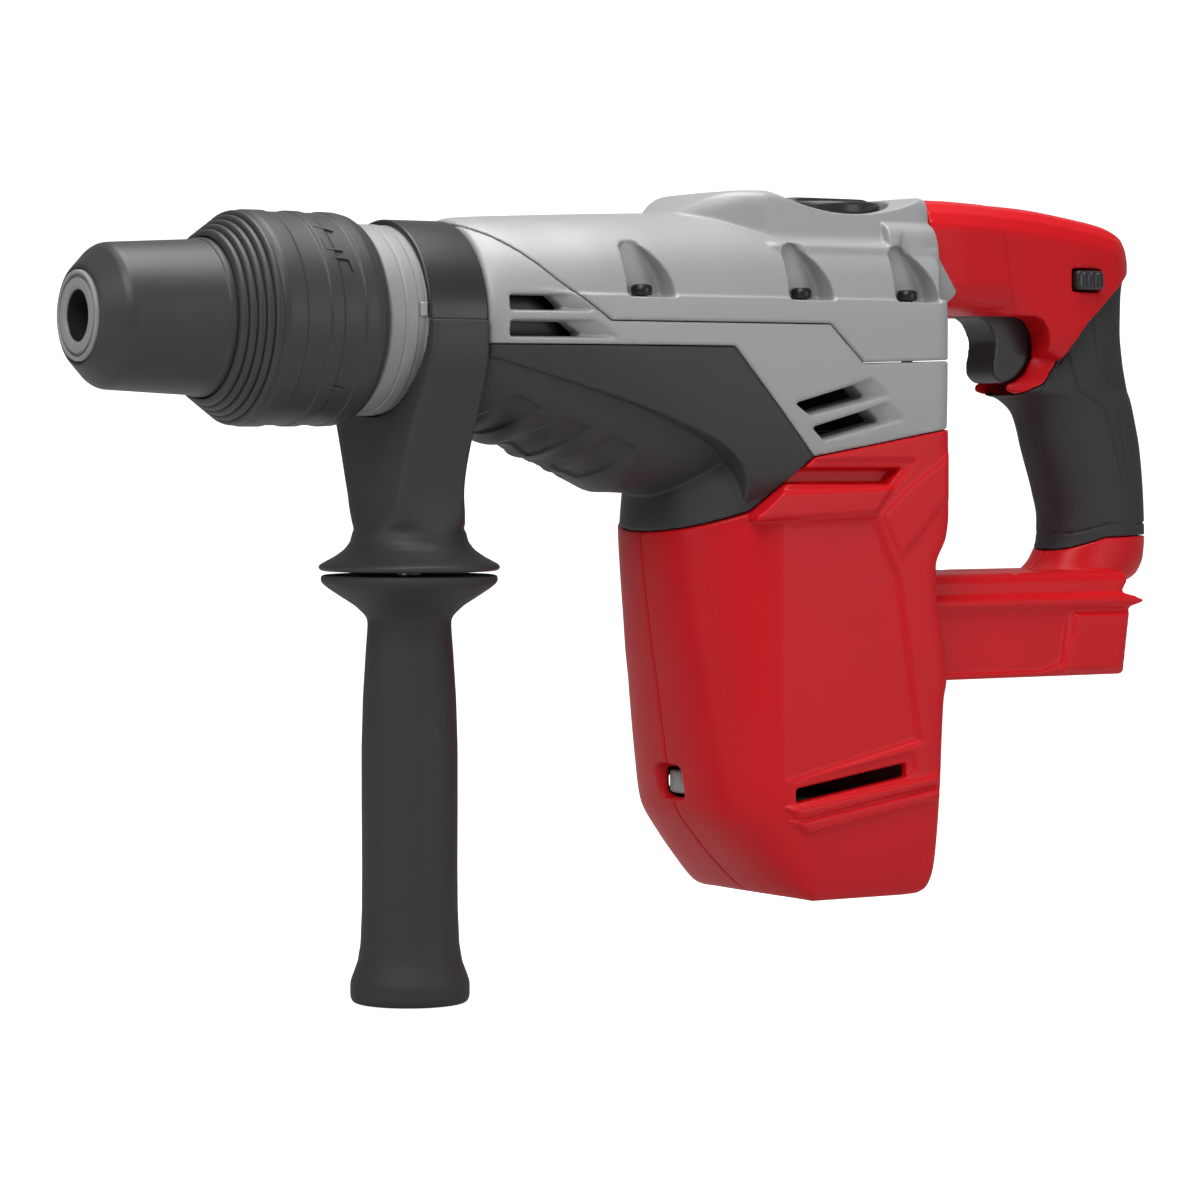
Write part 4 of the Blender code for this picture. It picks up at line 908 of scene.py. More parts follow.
bars = side_ridge(
    "upper_ramp", [(241.0, -58.4), (296.6, -56.8), (288.5, -66.6), (238.0, -68.6)], 43.4, 44.7, 1.2,
)
bars += side_ridge(
    "shoulder", [(290, -66.8), (301, -57.0), (321.0, -44.5), (321.0, -61.5), (299.5, -84.0)], 43.4,
    44.3, 2.0,
)
bars += side_ridge(
    "lower_ridge", [(251.2, -168.4), (317.4, -158.4), (317.8, -163.6), (255.6, -173.6)], 43.0, 44.9,
    1.5,
)
bars += side_ridge(
    "lowest_ridge", [(252.5, -173.4), (317.6, -163.2), (317.6, -169.0), (259.6, -178.6)], 42.6,
    44.8, 1.5,
)
PANEL = [
    (238, -70.5), (288.0, -68.6), (298.5, -90), (306.6, -141.5), (307.8, -146.6), (253.0, -159.0),
    (241, -158), (235.5, -100),
]
panel = side_pocket("panel", PANEL, 1.8, 1.6, surface=MOTOR_HALF)
upper_slot = side_pocket(
    "upper_slot", [(252.6, -55.6), (295.2, -55.6), (300.2, -50.6), (258.6, -50.6)], 7.0, 0.6,
    surface=MOTOR_HALF,
)
lower_slot = side_pocket(
    "lower_slot", [(255.8, -162.4), (302.6, -155.2), (302.6, -159.6), (255.8, -166.8)], 7.0, 0.5,
    surface=MOTOR_HALF,
)
frame_recess = side_pocket(
    "slot_frame", [(243.0, -58.0), (297.0, -57.0), (305.5, -47.6), (259.5, -47.6)], 0.9, 0.6,
    surface=MOTOR_HALF,
)
lower_recess = side_pocket(
    "lower_frame", [(250.5, -160.2), (304.6, -151.8), (306.0, -157.4), (251.5, -166.6)], 0.9, 1.0,
    surface=MOTOR_HALF,
)

# %% The window that shows the dial
def rounded(width, height, radius, count=6):
    """The outline of a rectangle with round corners, about the origin."""
    outline = []
    for cx, cz, start in ((1, 1, 0), (-1, 1, 90), (-1, -1, 180), (1, -1, 270)):
        for i in range(count + 1):
            angle = math.radians(start + 90 * i / count)
            a = cx * (width / 2 - radius) + radius * math.cos(angle)
            outline.append((a, cz * (height / 2 - radius) + radius * math.sin(angle)))
    return outline


window = prism("window", [(y, z + DIAL_Z) for y, z in rounded(14.0, 11.0, 2.4)], 214, 242, "YZ")
WINDOW_LEVELS = (233.5, 0.0), (230.0, 2.4), (220, 9)
window_rings = []
for x, more in WINDOW_LEVELS:
    frame_line = rounded(14.0 + more, 11.0 + more, 2.4 + more / 2)
    window_rings.append([(x, y, z + DIAL_Z) for y, z in frame_line])
window_flare = skin("window_flare", window_rings)
dial_room = rod("dial_room", -166.1, 9.2, 15.5, "Z", (DIAL_X, 0, 0))

# %% Mould one half and mirror it
cut(motor_form, *frame_recess, *lower_recess, *panel)
join(motor_form, *bars)
trim(motor_form, prism("red_region", grow(RED_EDGE, -GAP / 2), -60, 60))
cut(motor_form, motor_hollow, window, window_flare, dial_room, *upper_slot, *lower_slot)
cut(motor_form, *hollow("motor")[1:])
near_half = block("near_half", (150, -60, -260), (480, -GAP / 2, 80))
trim(motor_form, near_half)
motor_left = moulded(motor_form, "motor_shell_left")
motor_right = mirrored(motor_left, "motor_shell_right")
finish_piece(motor_left, "housing", "red_shell", RED_SHELL, "motor_housing_left")
finish_piece(motor_right, "housing", "red_shell", RED_SHELL, "motor_housing_right")
clear_helpers()

# %% [markdown]
# ## The rear handle
#
# The handle is also two red halves: a deep block behind the gear case, a slimmer arm with the lock
# button, the grip and the foot that takes the battery. One soft moulding wraps the grip.

# %% The arm
def arm_ring(x, half, top, bottom, crease):
    """Flat sides with a bevelled upper edge and a rounded lower one."""
    profile = [(0.45, 0.0), (0.68, 0.3), (0.85, 1.6), (0.955, 4.6), (1.0, 9.5), (1.0, 14.0)]
    side = [(share * half, bottom + rise) for share, rise in profile]
    side += [
        (half, crease - 2.0), (0.985 * half, crease), (0.90 * half, crease + (top - crease) * 0.45),
    ]
    side += [(0.76 * half, crease + (top - crease) * 0.80), (0.55 * half, top - 0.3), (0.3 * half, top)]
    side += [(0.0, top + 0.1)]
    return [(x, y, z) for y, z in side] + [(x, -y, z) for y, z in side[-2::-1]]


def arm_skin(name, stations):
    return skin(name, [arm_ring(*row) for row in refine(stations, 2.0)])


BLOCK_ARM = [
    (316, 31.4, 46.3, 5.5, 36.9), (336, 30.2, 46.3, 5.6, 36.7), (352, 28.0, 45.8, 5.8, 36.4),
    (367, 26.0, 45.1, 6.2, 36),
]
SLIM_ARM = [
    (346, 25.6, 46.0, 5.8, 36.4), (366, 23.9, 45.2, 3.0, 35.8), (377, 22.7, 44.6, -6.0, 35.0),
    (400, 20.2, 41.9, -13.0, 32.4), (414, 18.0, 39.8, -11.5, 30.2), (420, 16.4, 38.4, -10.0, 29.2),
    (425, 13.8, 36.6, -7.0, 28.0), (429, 10.4, 34.0, -1.0, 26.5), (432.0, 6.0, 29.6, 8.0, 24.5),
    (433.2, 3.0, 26.6, 12.0, 23.0),
]
STEP_EDGE = [(300, 60), (356.6, 60), (357.8, 37), (362.6, 13.7), (363.4, 0), (300, 0)]
handle_form = arm_skin("handle_form", SLIM_ARM)
block_arm = arm_skin("block_arm", BLOCK_ARM)
trim(block_arm, prism("step_edge", STEP_EDGE, -60, 60))

# %% The grip
GRIP = [
    (24.0, 394.0, 432.2),
    (12.0, 389.0, 430.6),
    (1.0, 385.5, 430.6),
    (-12.0, 380.5, 432.2),
    (-17.0, 374.5, 433.6),
    (-20.6, 369.0, 434.7),
    (-22.4, 369.0, 435.2),
    (-25.0, 379.5, 436.0),
    (-31.0, 387.2, 437.4),
    (-44.6, 391.8, 440.4),
    (-60.0, 397.2, 441.8),
    (-70.0, 399.6, 442.2),
    (-77.0, 399.4, 442.4),
    (-84.0, 396.5, 442.0),
    (-90.5, 389.0, 439.0),
    (-97.0, 372.0, 425.0),
]


def grip_rings(shrink=0.0, count=96):
    rings = []
    for z, front, rear in refine(GRIP, 1.5):
        middle = (front + rear) / 2
        half = 17.0 - 1.0 * ease((z + 30) / 40) - shrink
        rings.append(plan_ring(z, front + shrink, rear - shrink, half, 2.4, 2.0, middle, count))
    return rings


grip_form = skin("grip_form", grip_rings())

# %% The foot that carries the battery
FOOT_SIDE = [
    (0, -89), (23.0, -89), (25.6, -90), (27.0, -92.4), (27.4, -97.0), (33.6, -98.0), (34.1, -98.8),
    (34.1, -100.8), (33.0, -101.9), (32.4, -103.0), (32.8, -108), (33.0, -125.4), (31.6, -126.9),
    (0, -127),
]
foot_outline = FOOT_SIDE + [(-y, z) for y, z in FOOT_SIDE[-2:0:-1]]
foot_rear = [
    (310, -80), (419, -80), (416, -93), (414, -96), (414.5, -98), (418, -99.6), (412.6, -102.2),
    (412.8, -103.6), (409.6, -127.5), (310, -127.5),
]
foot_form = prism("foot_form", foot_outline, 310, 426, "YZ")
trim(foot_form, prism("foot_rear", foot_rear, -60, 60))
lip = prism(
    "foot_lip",
    [(404, -97.8), (412.5, -97.8), (418.4, -99.3), (418.9, -100.3), (412.8, -101.9), (404, -101.9)],
    -33.4, 33.4,
)
join(foot_form, lip)
cut(
    foot_form,
    *side_pocket(
        "foot_panel",
        [(300, -104.6), (383.5, -103.6), (380.5, -121.6), (372, -124.6), (300, -124.6)], 0.9, 0.7,
        surface=33.0,
    ),
)
boss = side_ridge(
    "foot_boss",
    [(386.5, -104.0), (412.0, -104.0), (408.6, -125.2), (379.5, -125.2), (384.5, -121.0)], 32.6,
    34.0, 0.8,
)
join(foot_form, *boss)

# %% Where the soft moulding begins and ends
MOULDING = [
    (450, 24.6), (436, 23.4), (431.5, 22.6), (425.5, 19.6), (417.0, 13.8), (403.0, 2.6),
    (394.8, -6.0), (391.4, -13.0), (386.0, -19.6), (378, -23.2), (365, -26.5), (365, -90.0),
    (387.0, -84.6), (400.7, -81.3), (414.9, -76.9), (432.2, -76.5), (450, -76.5),
]
sleeve_cut = prism("sleeve_cut", MOULDING, -40, 40)
cut(sleeve_cut, skin("grip_core", grip_rings(3.0)))
throat = prism(
    "throat",
    [(356.0, 12.6), (399.3, 12.6), (399.3, -8), (392.5, -17.5), (384, -22.6), (378, -30), (356.0, -30)],
    -9.2, 9.2,
)
TRIGGER_GAP = [
    (338, 4.8), (376, 4.8), (380.4, 3.4), (383.2, -0.5), (384.6, -6.0), (383.8, -11.4),
    (380.8, -16.2), (376.0, -19.2), (369.5, -20.5), (338, -20.6),
]
front_gap = prism("front_gap", TRIGGER_GAP, -40, 40)
button_room = block("button_room", (394.6, -40, 14.1), (410.4, 40, 22.9), 1.2)
battery_slot = block("battery_slot", (330, -27.5, -122.5), (440, 27.5, -108))
battery_mouth = block("battery_mouth", (330, -22, -140), (440, 22, -121.5))
terminal_seat = block("terminal_seat", (348.6, -15.4, -113), (399.4, 15.4, -99.6))

# %% Mould the halves
motor_back = [(row[2] + 0.45, row[0]) for row in MOTOR[::-1] if row[0] > -140]
motor_clear = prism("motor_clear", [(300, 4), (300, -140), *motor_back, (322.5, 4)], -60, 60)
join(handle_form, block_arm, grip_form, foot_form)
cut(handle_form, motor_clear, prism("cheek_room", grow(CHEEK, GAP), -60, 60))
case_room = block("case_room", (300, -60, -60), (322.3, 60, 38.6))
pad_room = block("pad_room", (300, -60, 38), (322.4, 60, 60))
cut(handle_form, case_room, pad_room)
cut(handle_form, sleeve_cut, front_gap, throat, button_room)
cut(handle_form, battery_slot, battery_mouth, terminal_seat)
trim(handle_form, block("handle_half", (300, -60, -150), (470, -GAP / 2, 80)))
handle_left = moulded(handle_form, "handle_shell_left")
handle_right = mirrored(handle_left, "handle_shell_right")
finish_piece(handle_left, "housing", "red_shell", RED_SHELL, "handle_left")
finish_piece(handle_right, "housing", "red_shell", RED_SHELL, "handle_right")

# %% The soft moulding with its fine grooves
soft_form = skin("soft_form", grip_rings())
trim(soft_form, prism("soft_region", grow(MOULDING, -GAP), -40, 40))
groove_floor = skin("groove_floor", grip_rings(0.75))
GROOVES = [
    [
        (426.5, 23.5), (421.1, 18.7), (407.8, 5.9), (411.2, -12.6), (420.3, -21.5), (423.9, -47.2),
        (426.3, -55.9), (423.9, -59.2), (422.5, -56.6), (414.6, -29.7), (401.3, -22.0),
        (396.5, -7.6),
    ],
    [(396.5, -7.6), (394.0, -11.0), (390.4, -16.5), (383.9, -23.6), (376.5, -26.0), (368, -27.5)],
    [
        (378.4, -38.6), (387.4, -60.7), (390.4, -74.0), (401.6, -75.5), (415.4, -71.9),
        (431.7, -71.7), (446, -71.7),
    ],
]
GROOVE_WIDTH = 0.9
for number, line in enumerate(GROOVES, 1):
    for cutter in both_sides(f"groove_{number}", ribbon(line, GROOVE_WIDTH), 3.0, 40):
        cut(cutter, groove_floor)
        cut(soft_form, cutter)
cut(
    soft_form, skin("soft_core", grip_rings(2.7)),
    prism(
        "soft_throat",
        [(350, 12.6), (399.3, 12.6), (399.3, -8), (392.5, -17.5), (385, -22.9), (350, -22.9)], -9.2,
        9.2,
    ),
)
grip_overmould = moulded(soft_form, "grip_moulding", 0.4, rounding=2, share=0.3)
finish_piece(grip_overmould, "housing", "grip_rubber", SOFT_GRIP, "grip_overmould")

# %% Trigger: a hooked front for one finger
TRIGGER = [
    (361.0, 9.5), (360.6, 7.0), (361.6, 4.9), (365.2, 2.4), (367.6, -1.2), (368.7, -5.0),
    (368.4, -9.0), (367.4, -12.6), (367.6, -15.6), (369.4, -18.2), (372.6, -19.6), (377.2, -18.0),
    (380.6, -15.2), (383.4, -11.0), (384.4, -5.0), (384.6, 9.5),
]
numbered = [(i, *point) for i, point in enumerate(TRIGGER)]
smooth_front = [tuple(row[1:]) for row in refine(numbered, 0.2)]
trigger_form = prism("trigger_form", smooth_front, -8.3, 8.3)
trigger = moulded(trigger_form, "trigger_blade", 0.35, rounding=8, share=0.35)
finish_piece(trigger, "trigger", "dark_plastic", SATIN_BLACK, "trigger")

# %% Lock button with ribs on its two ends
button_form = block("button_form", (396, -22.3, 14.9), (409, 22.3, 22.1), 1.6)
finger_ribs = []
for x in (399.2, 402.5, 405.8):
    for y in (-22.0, 22.0):
        low, high = (x - 0.6, y - 0.9, 15.8), (x + 0.6, y + 0.9, 21.2)
        finger_ribs.append(block(f"rib_{x:.0f}_{y:.0f}", low, high, 0.4))
join(button_form, *finger_ribs)
lock_button = moulded(button_form, "lock_slider", 0.3, rounding=3)
finish_piece(lock_button, "lock_button", "dark_plastic", SATIN_BLACK, "lock_button")
clear_helpers()

# %% Mode knob: a disc with a thumb bar
knob_form = lathe(
    "knob_form",
    [
        (31.5, 0), (31.5, 6), (39.9, 6), (39.9, 19.4), (40.5, 20), (43.6, 20), (44.5, 19.4),
        (44.8, 18.4), (44.8, 0),
    ],
    "Z", (KNOB_X, 0, 0),
)
BAR_LEVELS = (42, 1.05), (44.8, 1.0), (46.0, 0.93), (46.4, 0.84)
bar_outline = rounded(2.0, 2.0, 0.45)
bar = skin(
    "thumb_bar",
    [[(KNOB_X + a * 18.4 * f, b * 4.6 * f, z) for a, b in bar_outline] for z, f in BAR_LEVELS],
)
join(knob_form, bar)
mode_knob = moulded(knob_form, "mode_selector", 0.35, rounding=3, share=0.3)
finish_piece(mode_knob, "mode_knob", "dark_plastic", SATIN_BLACK, "mode_knob")

# %% Speed dial with a milled rim
dial_form = lathe(
    "dial_form", [(-4, 0), (-4, 14.2), (-3.3, 14.9), (3.3, 14.9), (4, 14.2), (4, 0)], "Z",
    (DIAL_X, 0, DIAL_Z),
)
notches = []
for i in range(40):
    if i % 5:
        angle = math.radians(i * 9)
        place = (DIAL_X + 15.2 * math.cos(angle), 15.2 * math.sin(angle), DIAL_Z)
        notches.append(rod(f"notch_{i}", -6, 12, 0.7, "Z", place, 16))
cut(dial_form, *notches)
speed_dial = keep_mesh(dial_form, "dial_wheel")
finish_piece(speed_dial, "speed_dial", "seal_grey", DIAL_GREY, "speed_dial")
clear_helpers()
print("handle, controls done")

# %% [markdown]
# ## Chuck and neck
#
# Everything in front of the gear case is turned, so each piece is one outline spun round the
# spindle. Short curves between the corners keep every edge soft.

# %% Round the corners of an outline
def soft(outline, radius=0.4, count=4):
    """Replaces each inner corner with a short curve."""
    made = [outline[0]]
    for before, here, after in zip(outline, outline[1:], outline[2:]):
        reach_in = min(radius, math.dist(before, here) * 0.45)
        reach_out = min(radius, math.dist(here, after) * 0.45)
        start = [h + (b - h) * reach_in / math.dist(before, here) for b, h in zip(before, here)]
        end = [h + (a - h) * reach_out / math.dist(here, after) for a, h in zip(after, here)]
        for k in range(count + 1):
            t = k / count
            corner = zip(start, here, end)
            made.append(tuple((1 - t) ** 2 * s + 2 * t * (1 - t) * h + t * t * e for s, h, e in corner))
    return made + [outline[-1]]


def turned_piece(
    name, outline, body, slot, material, node, radius=0.4, axis="X", centre=(0, 0, 0), segments=192,
):
    """A finished lathe piece that stands for one CAD node."""
    looped = outline[0][1] > 1e-6
    line = soft([*outline, outline[0]] if looped else outline, radius)
    made = lathe(name, line[:-1] if looped else line, axis, centre, segments)
    made.data.shade_smooth()
    made.data.set_sharp_from_angle(angle=math.radians(50))
    print(name, len(made.data.polygons), "faces")
    return finish_piece(made, body, slot, material, node)


# %% Dust cap, nose sleeve and tool holder
CAP = [
    (8.6, 8.35), (1.2, 8.35), (0.2, 8.9), (0.0, 9.7), (0.0, 11.9), (0.3, 12.3), (1.7, 12.5),
    (1.7, 13.3), (0.3, 13.5), (0.0, 13.9), (0.1, 14.6), (0.8, 14.95), (8.6, 14.95),
]
front_seal = turned_piece("front_seal", CAP, "spindle", "seal_grey", SEAL, "dust_cap", 0.3)
# The inside wall of the bore is painted black: painted shade for the dark hole in the grey cap.
front_seal.data.materials.append(SATIN_BLACK)
for face in front_seal.data.polygons:
    along, across, up = (face.center - NOSE) / MM
    if math.hypot(across, up) < 8.6 and along > 0.6:
        face.material_index = 1
NOSE_LINE = [
    (1.3, 15.3), (1.0, 15.6), (1.0, 16.3), (1.6, 17.1), (7.4, 22.7), (9.2, 23.7), (10.8, 24.05),
    (43.0, 25.75), (43.5, 26.25), (44.6, 26.3), (53.5, 26.3), (53.5, 17.4), (9.4, 17.4),
    (9.4, 15.3),
]
turned_piece("nose_cone", NOSE_LINE, "spindle", "dark_plastic", CHUCK_PLASTIC, "nose_sleeve", 0.6)

# %% Collar: five rounded steps, two wide grooves and a round rear rim
def collar_line():
    line = [(45.6, 26.85), (45.6, 27.3)]
    for i in range(5):
        low_x, high_x = 45.9 + 2.35 * i, 48.25 + 2.35 * i
        low_r, high_r = 27.4 + 1.62 * i, 29.0 + 1.62 * i
        line += [(low_x, low_r + 0.75), (low_x + 0.5, high_r - 0.15), (low_x + 1.3, high_r + 0.12)]
        line += [(high_x - 0.35, high_r + 0.1), (high_x - 0.1, high_r - 0.35)]
    line += [
        (58.6, 35.7), (60.0, 36.0), (66.0, 36.0), (66.5, 35.55), (67.1, 35.5), (74.3, 35.5),
        (74.9, 35.55),
    ]
    line += [
        (75.4, 35.95), (79.7, 35.95), (80.2, 35.5), (80.8, 35.45), (87.3, 35.45), (87.9, 35.5),
        (88.4, 35.9),
    ]
    line += [
        (92.6, 35.8), (95.4, 35.2), (97.2, 34.2), (98.0, 33.4), (98.0, 33.2), (90.0, 33.2),
        (90.0, 26.85),
    ]
    return line


turned_piece(
    "collar_grip", collar_line(), "collar", "dark_plastic", CHUCK_PLASTIC, "collar_sleeve", 0.25,
)


def stroke(name, points, width, radius, lift, body, slot, material):
    """A raised line of (x, degrees round the collar) points, laid on a cylinder."""
    flat = []
    for (x0, a0), (x1, a1) in zip(points, points[1:]):
        count = 8
        flat += [(x0 + (x1 - x0) * k / count, a0 + (a1 - a0) * k / count) for k in range(count)]
    flat.append(points[-1])
    scale = math.radians(1) * radius
    outline = ribbon([(x, a * scale) for x, a in flat], width)
    bm = bmesh.new()
    count = len(outline) // 2
    rows = []
    for depth in (-0.4, lift):
        reach = radius + depth
        points = [(x, -reach * math.cos(a / radius), reach * math.sin(a / radius)) for x, a in outline]
        rows.append([bm.verts.new(point) for point in points])
    total = len(outline)
    for i in range(total):
        j = (i + 1) % total
        bm.faces.new((rows[0][i], rows[0][j], rows[1][j], rows[1][i]))
    for row in rows:
        for i in range(count - 1):
            bm.faces.new((row[i], row[i + 1], row[total - 2 - i], row[total - 1 - i]))
    made = solid(name, bm)
    return finish_piece(made, body, slot, material)


MARKS = {
    "mark_corner": [(77.0, 45.5), (77.2, 38.5), (83.0, 37.5)],
    "mark_tail": [(76.8, 57.0), (83.0, 52.5)],
    "mark_back": [(78.8, 33.0), (84.2, 32.0), (84.8, 25.5)],
    "mark_foot": [(77.6, -39.0), (84.0, -41.5)],
}
for mark, points in MARKS.items():
    stroke(mark, points, 0.7, 35.6, 0.55, "collar", "dark_plastic", CHUCK_PLASTIC)

# %% Neck: a light ring with two fine steps and a stop for the clamp
NECK = [
    (99.0, 29.0), (99.0, 31.3), (99.8, 32.1), (104.6, 32.2), (105.0, 31.9), (105.5, 31.9),
    (105.9, 32.2), (109.6, 32.2), (110.0, 31.8), (112.8, 31.8), (113.2, 32.2), (135.7, 32.2),
    (135.7, 26.5), (106, 26.5), (106, 29.0),
]
turned_piece("neck", NECK, "housing", "neck_metal", NECK_RING, "barrel_housing", 0.3)
# The neck's rear part inside the case gets blackened steel: a dark finish that stands in for the shade seen
# through the cooling slots.
SHADED_TAIL = [(136.0, 26.5), (136.0, 29.0), (180.0, 29.0), (180.0, 26.5)]
turned_piece("neck_tail", SHADED_TAIL, "housing", "black_steel", BLACK_STEEL, "barrel_housing", 0.3)
stop = block("clamp_stop", (110.2, -33.0, 0.6), (112.8, -31.0, 5.4), 0.6)
finish_piece(stop, "housing", "neck_metal", NECK_RING)

# %% [markdown]
# ## Side handle
#
# A thin half band and a heavy yoke clamp the neck. The yoke is skinned from plan sections: almost
# square where it holds the neck, narrower below and round where it meets its flange.

# %% Clamp band
BAND = [(113.1, 32.5), (113.1, 33.5), (113.6, 34.0), (135.2, 34.0), (135.7, 33.5), (135.7, 32.5)]
band_form = lathe("band_form", soft([*BAND, BAND[0]], 0.5)[:-1], segments=256)
cut(band_form, block("band_cut", (100, -60, -60), (150, 60, 0.2)))
band = keep_mesh(band_form, "band_upper")
band.data.shade_smooth()
band.data.set_sharp_from_angle(angle=math.radians(40))
finish_piece(band, "side_handle", "dark_plastic", SATIN_BLACK, "clamp_band")

# %% Yoke and its flange
YOKE = [
    (-0.3, 36.0, 11.3, 11.3, 18.0),
    (-6.0, 36.2, 11.5, 11.3, 18.0),
    (-12.0, 35.8, 12.0, 11.3, 18.0),
    (-20.0, 33.6, 12.8, 11.2, 18.0),
    (-30.0, 29.8, 13.8, 11.0, 18.0),
    (-42.0, 24.8, 14.4, 10.8, 16.0),
    (-52.0, 21.2, 14.7, 11.0, 14.0),
    (-60.0, 19.2, 14.8, 12.0, 10.0),
    (-66.0, 18.8, 15.6, 14.2, 5.0),
    (-69.0, 18.8, 17.0, 16.4, 3.0),
    (-71.0, 19.0, 18.2, 17.8, 2.2),
    (-76.0, 19.6, 19.4, 19.4, 2.0),
]


def yoke_ring(z, half_y, front, rear, power):
    ring = []
    for i in range(160):
        angle = 2 * math.pi * (i + 0.5) / 160
        across = signed_power(math.cos(angle), 2 / power)
        x = HANDLE_X + (rear if across > 0 else front) * across
        ring.append((x, half_y * signed_power(math.sin(angle), 2 / power), z))
    return ring


yoke_form = skin("yoke_form", [yoke_ring(*row) for row in refine(YOKE, 1.0)])
FLANGE = [
    (-84.8, 0), (-84.8, 29.6), (-84.3, 30.7), (-83.3, 31.0), (-82.5, 30.3), (-80.0, 25.6),
    (-77.6, 22.2), (-75.0, 20.2), (-71.5, 19.3), (-70.4, 18.4), (-69.8, 17.0), (-69.8, 0),
]
join(yoke_form, lathe("flange_form", soft(FLANGE, 0.5), "Z", (HANDLE_X, 0, 0), 256))
cut(
    yoke_form, rod("neck_room", 100, 50, 32.55, segments=256),
    rod("bolt_room", -100, 62, 4.4, "Z", (HANDLE_X, 0, 0)),
)
yoke = moulded(yoke_form, "yoke_arm", 0.5, rounding=3, share=0.25)
finish_piece(yoke, "side_handle", "dark_plastic", DARK_SHELL, "handle_yoke")

# %% Grip: a slim handle with a rounded heel
HANDLE = [
    (-232.0, 0), (-232.0, 18.6), (-231.4, 19.8), (-229.8, 20.4), (-225.0, 20.4), (-222.6, 19.6),
    (-218.0, 17.9), (-212.0, 16.9), (-200.0, 16.4), (-185.0, 16.3), (-165.0, 16.4), (-145.0, 16.4),
    (-128.0, 15.9), (-112.0, 14.9), (-104.0, 14.3), (-101.6, 14.3), (-99.8, 15.2), (-96.6, 18.6),
    (-93.4, 23.6), (-90.6, 27.8), (-88.9, 29.8), (-87.6, 30.2), (-86.5, 29.9), (-86.1, 29.0),
    (-86.1, 4.3), (-222.0, 4.3), (-222.0, 0),
]
turned_piece(
    "grip_handle", HANDLE, "side_grip", "grip_rubber", SOFT_GRIP, "side_grip", 1.0, "Z",
    (HANDLE_X, 0, 0),
)
clear_helpers()

# %% Cover screws with six-lobed sockets
def cover_screw(number, x, y):
    tip = -7.4 if x < 276 else -19.9
    head = [
        (tip, 0), (tip, 1.6), (tip + 0.8, 2.0), (8.9, 2.0), (8.9, 3.4), (9.2, 3.6), (11.4, 3.6),
        (12.3, 3.1), (12.6, 2.3), (12.6, 0),
    ]
    form = lathe(f"screw_form_{number}", head, "Z", (x, y, 0), 48)
    turns = [math.radians(10 * i) for i in range(36)]
    lobes = [(1.45 + 0.38 * math.cos(6 * turn), turn) for turn in turns]
    star = [(x + r * math.cos(a), y + r * math.sin(a)) for r, a in lobes]
    socket = prism(f"socket_{number}", star, 10.2, 14, "XY")
    cut(form, socket)
    made = keep_mesh(form, f"screw_{number}")
    made.data.shade_smooth()
    made.data.set_sharp_from_angle(angle=math.radians(35))
    finish_piece(made, "housing", "black_steel", BLACK_STEEL, f"cover_screw_{number}")


for number, (x, side) in enumerate([(x, side) for x in SCREWS for side in SIDES], 1):
    cover_screw(number, x, side * SCREW_Y)
clear_helpers()

# %% [markdown]
# ## What is inside
#
# The parts inside keep their CAD meshes. Each gets a real finish and a fine bevel, because the
# slots, the chuck and the trigger opening show some of them.

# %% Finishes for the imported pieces
INNER = {
    STEEL: "cam_ring lock_roller_upper lock_roller_lower collar_spring front_bearing hammer_tube anvil "
    "striker piston wrist_pin connecting_rod crank_pin crank_shaft crank_bearing crank_gear "
    "idler_gear bevel_pinion bevel_ring_gear upper_bearing motor_pinion motor_shaft lower_bearing "
    "clamp_bolt",
    BLACK_STEEL: "tool_holder rotor_core stator",
    NECK_RING: "gear_plate",
    DARK_SHELL: "cooling_fan lower_bearing_plate switch_module terminal_block",
    BOARD: "control_board",
    CONTACT: "terminal_blade_1 terminal_blade_2",
}
for material, names in INNER.items():
    for name in names.split():
        node = frame["nodes"][name]
        if node.type == "MESH":
            node.data.materials.clear()
            node.data.materials.append(material)
            edge = node.modifiers.new("fine_edge", "BEVEL")
            edge.width = 0.25 * MM
            edge.segments = 2
            edge.limit_method = "ANGLE"
            edge.angle_limit = math.radians(40)
        else:
            node.active_material = material
print("finished", sum(len(names.split()) for names in INNER.values()), "inner pieces")

# %% [markdown]
# ## Studio
#
# The tool hangs just above a white sweep, as in a catalogue. The sweep glows for the camera, which
# keeps it white, and hardly at all for the tool, so it doesn't wash out the colours. A soft light
# stands to the upper left, the strongest one hangs above and two weak ones fill the side and nose.

# %% Sweep and light
white = bpy.data.materials.new("white_sweep")
white.use_nodes = True
tree = white.node_tree
shader = tree.nodes["Principled BSDF"]
shader.inputs["Base Color"].default_value = (0.45, 0.45, 0.45, 1)
shader.inputs["Roughness"].default_value = 0.9
shader.inputs["Emission Color"].default_value = (1, 1, 1, 1)
seen = tree.nodes.new("ShaderNodeLightPath").outputs["Is Camera Ray"]
glow = math_node(tree, "ADD", math_node(tree, "MULTIPLY", seen, 0.9), 0.1)
tree.links.new(glow, shader.inputs["Emission Strength"])
bm = bmesh.new()
PROFILE = [(-1.6, 0.0), (1.0, 0.0), (1.35, 0.06), (1.6, 0.25), (1.7, 0.6), (1.7, 3.0)]
floor_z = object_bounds()[0].z - 0.0005
AWAY = Vector((0.537, 0.843, 0))  # level, and away from the camera
ASIDE = Vector((0.843, -0.537, 0))
HALF_WIDTH = 3.0
rows = []
for along, up in PROFILE:
    middle = AWAY * along + Vector((0, 0, floor_z + up))
    rows.append([bm.verts.new(middle + ASIDE * side * HALF_WIDTH) for side in SIDES])
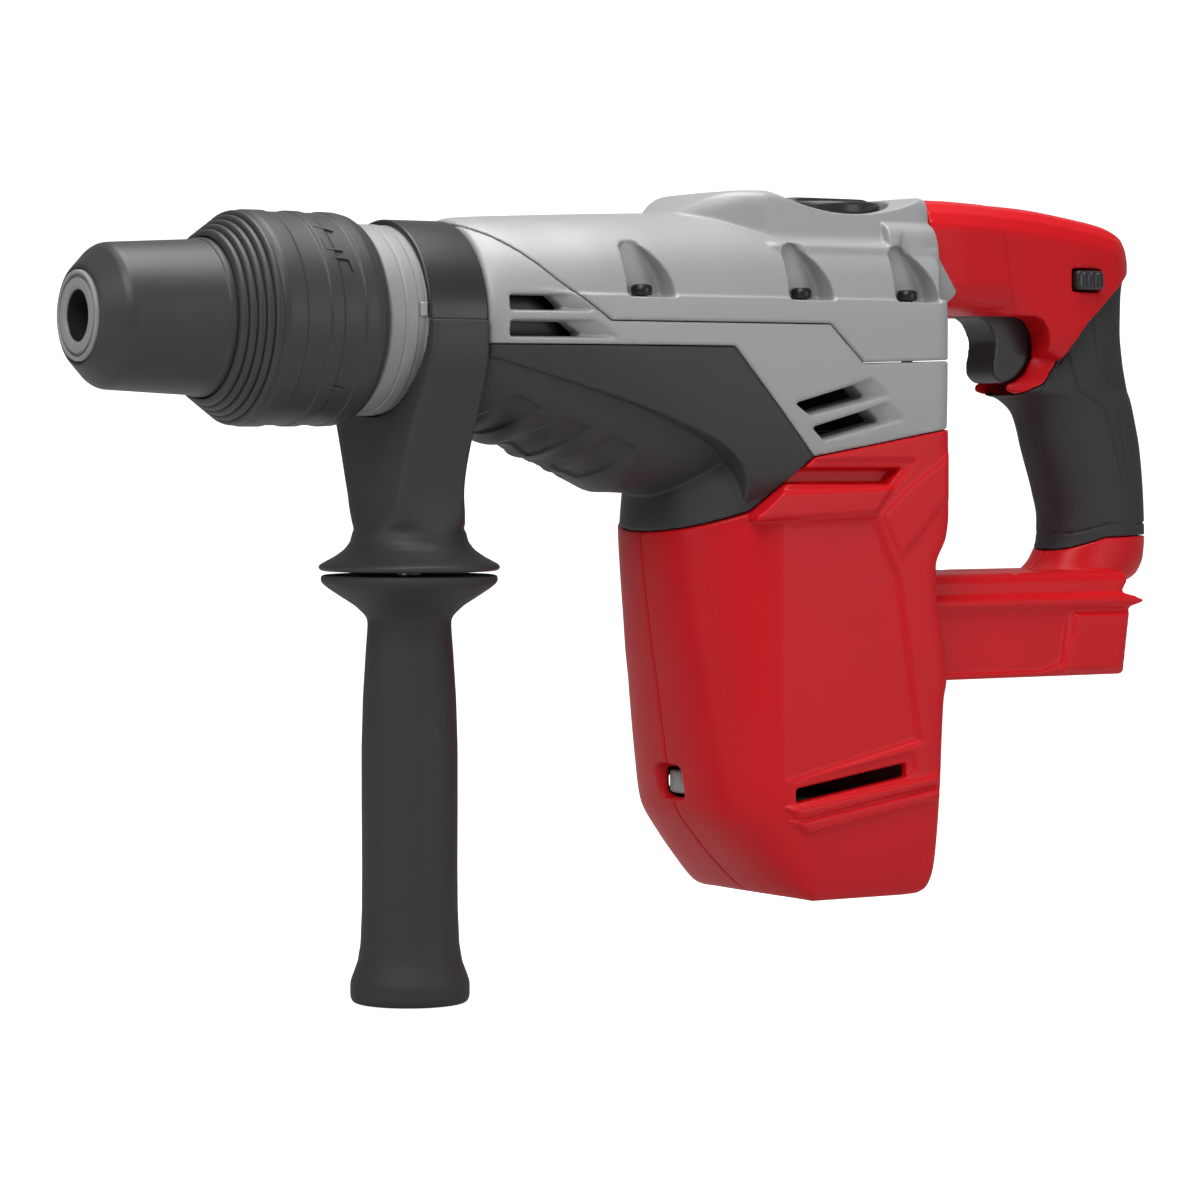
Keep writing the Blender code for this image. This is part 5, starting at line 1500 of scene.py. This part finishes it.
for near, far in zip(rows, rows[1:]):
    bm.faces.new((near[0], near[1], far[1], far[0]))
sweep_mesh = bpy.data.meshes.new("studio_sweep")
bm.to_mesh(sweep_mesh)
bm.free()
sweep_mesh.shade_smooth()
sweep_mesh.materials.append(white)
sweep = bpy.data.objects.new("studio_sweep", sweep_mesh)
bpy.context.scene.collection.objects.link(sweep)
sweep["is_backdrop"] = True


def soft_light(name, place, size, power, target=(-0.15, 0.0, 0.04)):
    lamp = bpy.data.lights.new(name, "AREA")
    lamp.shape = "RECTANGLE"
    lamp.size, lamp.size_y = size
    lamp.energy = power
    made = bpy.data.objects.new(name, lamp)
    made.location = place
    made.rotation_euler = (Vector(target) - Vector(place)).to_track_quat("-Z", "Y").to_euler()
    bpy.context.scene.collection.objects.link(made)
    return made


soft_light("key", (-1.0, -0.75, 1.1), (0.7, 0.7), 10)
soft_light("top", (-0.1, 0.0, 1.3), (1.1, 0.7), 17)
soft_light("fill", (0.6, -1.4, 0.3), (0.6, 0.6), 3.5)
soft_light("nose", (-1.5, -0.1, 0.25), (0.5, 0.7), 2)
world = bpy.data.worlds.new("studio")
bpy.context.scene.world = world
world.use_nodes = True
world.node_tree.nodes["Background"].inputs["Color"].default_value = (1, 1, 1, 1)
world.node_tree.nodes["Background"].inputs["Strength"].default_value = 0.16

# %% Camera
camera_data = bpy.data.cameras.new("camera")
camera_data.lens = 129
camera_data.sensor_width = 36
camera = bpy.data.objects.new("camera", camera_data)
camera.location = (-0.98009, -1.26732, 0.06885)
turn, drop = math.radians(32.5), math.radians(2.18)
aim = Vector((math.cos(drop) * math.sin(turn), math.cos(drop) * math.cos(turn), -math.sin(drop)))
camera.rotation_euler = aim.to_track_quat("-Z", "Y").to_euler()
bpy.context.scene.collection.objects.link(camera)
bpy.context.scene.camera = camera
bpy.context.scene.view_settings.view_transform = "Standard"

# %% [markdown]
# ## The shown size
#
# The shown object keeps the imported model's box. The last cell prints the size of the shown object.

# %% Print the shown size
low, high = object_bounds()
print("shown size", [round(v, 4) for v in high - low])
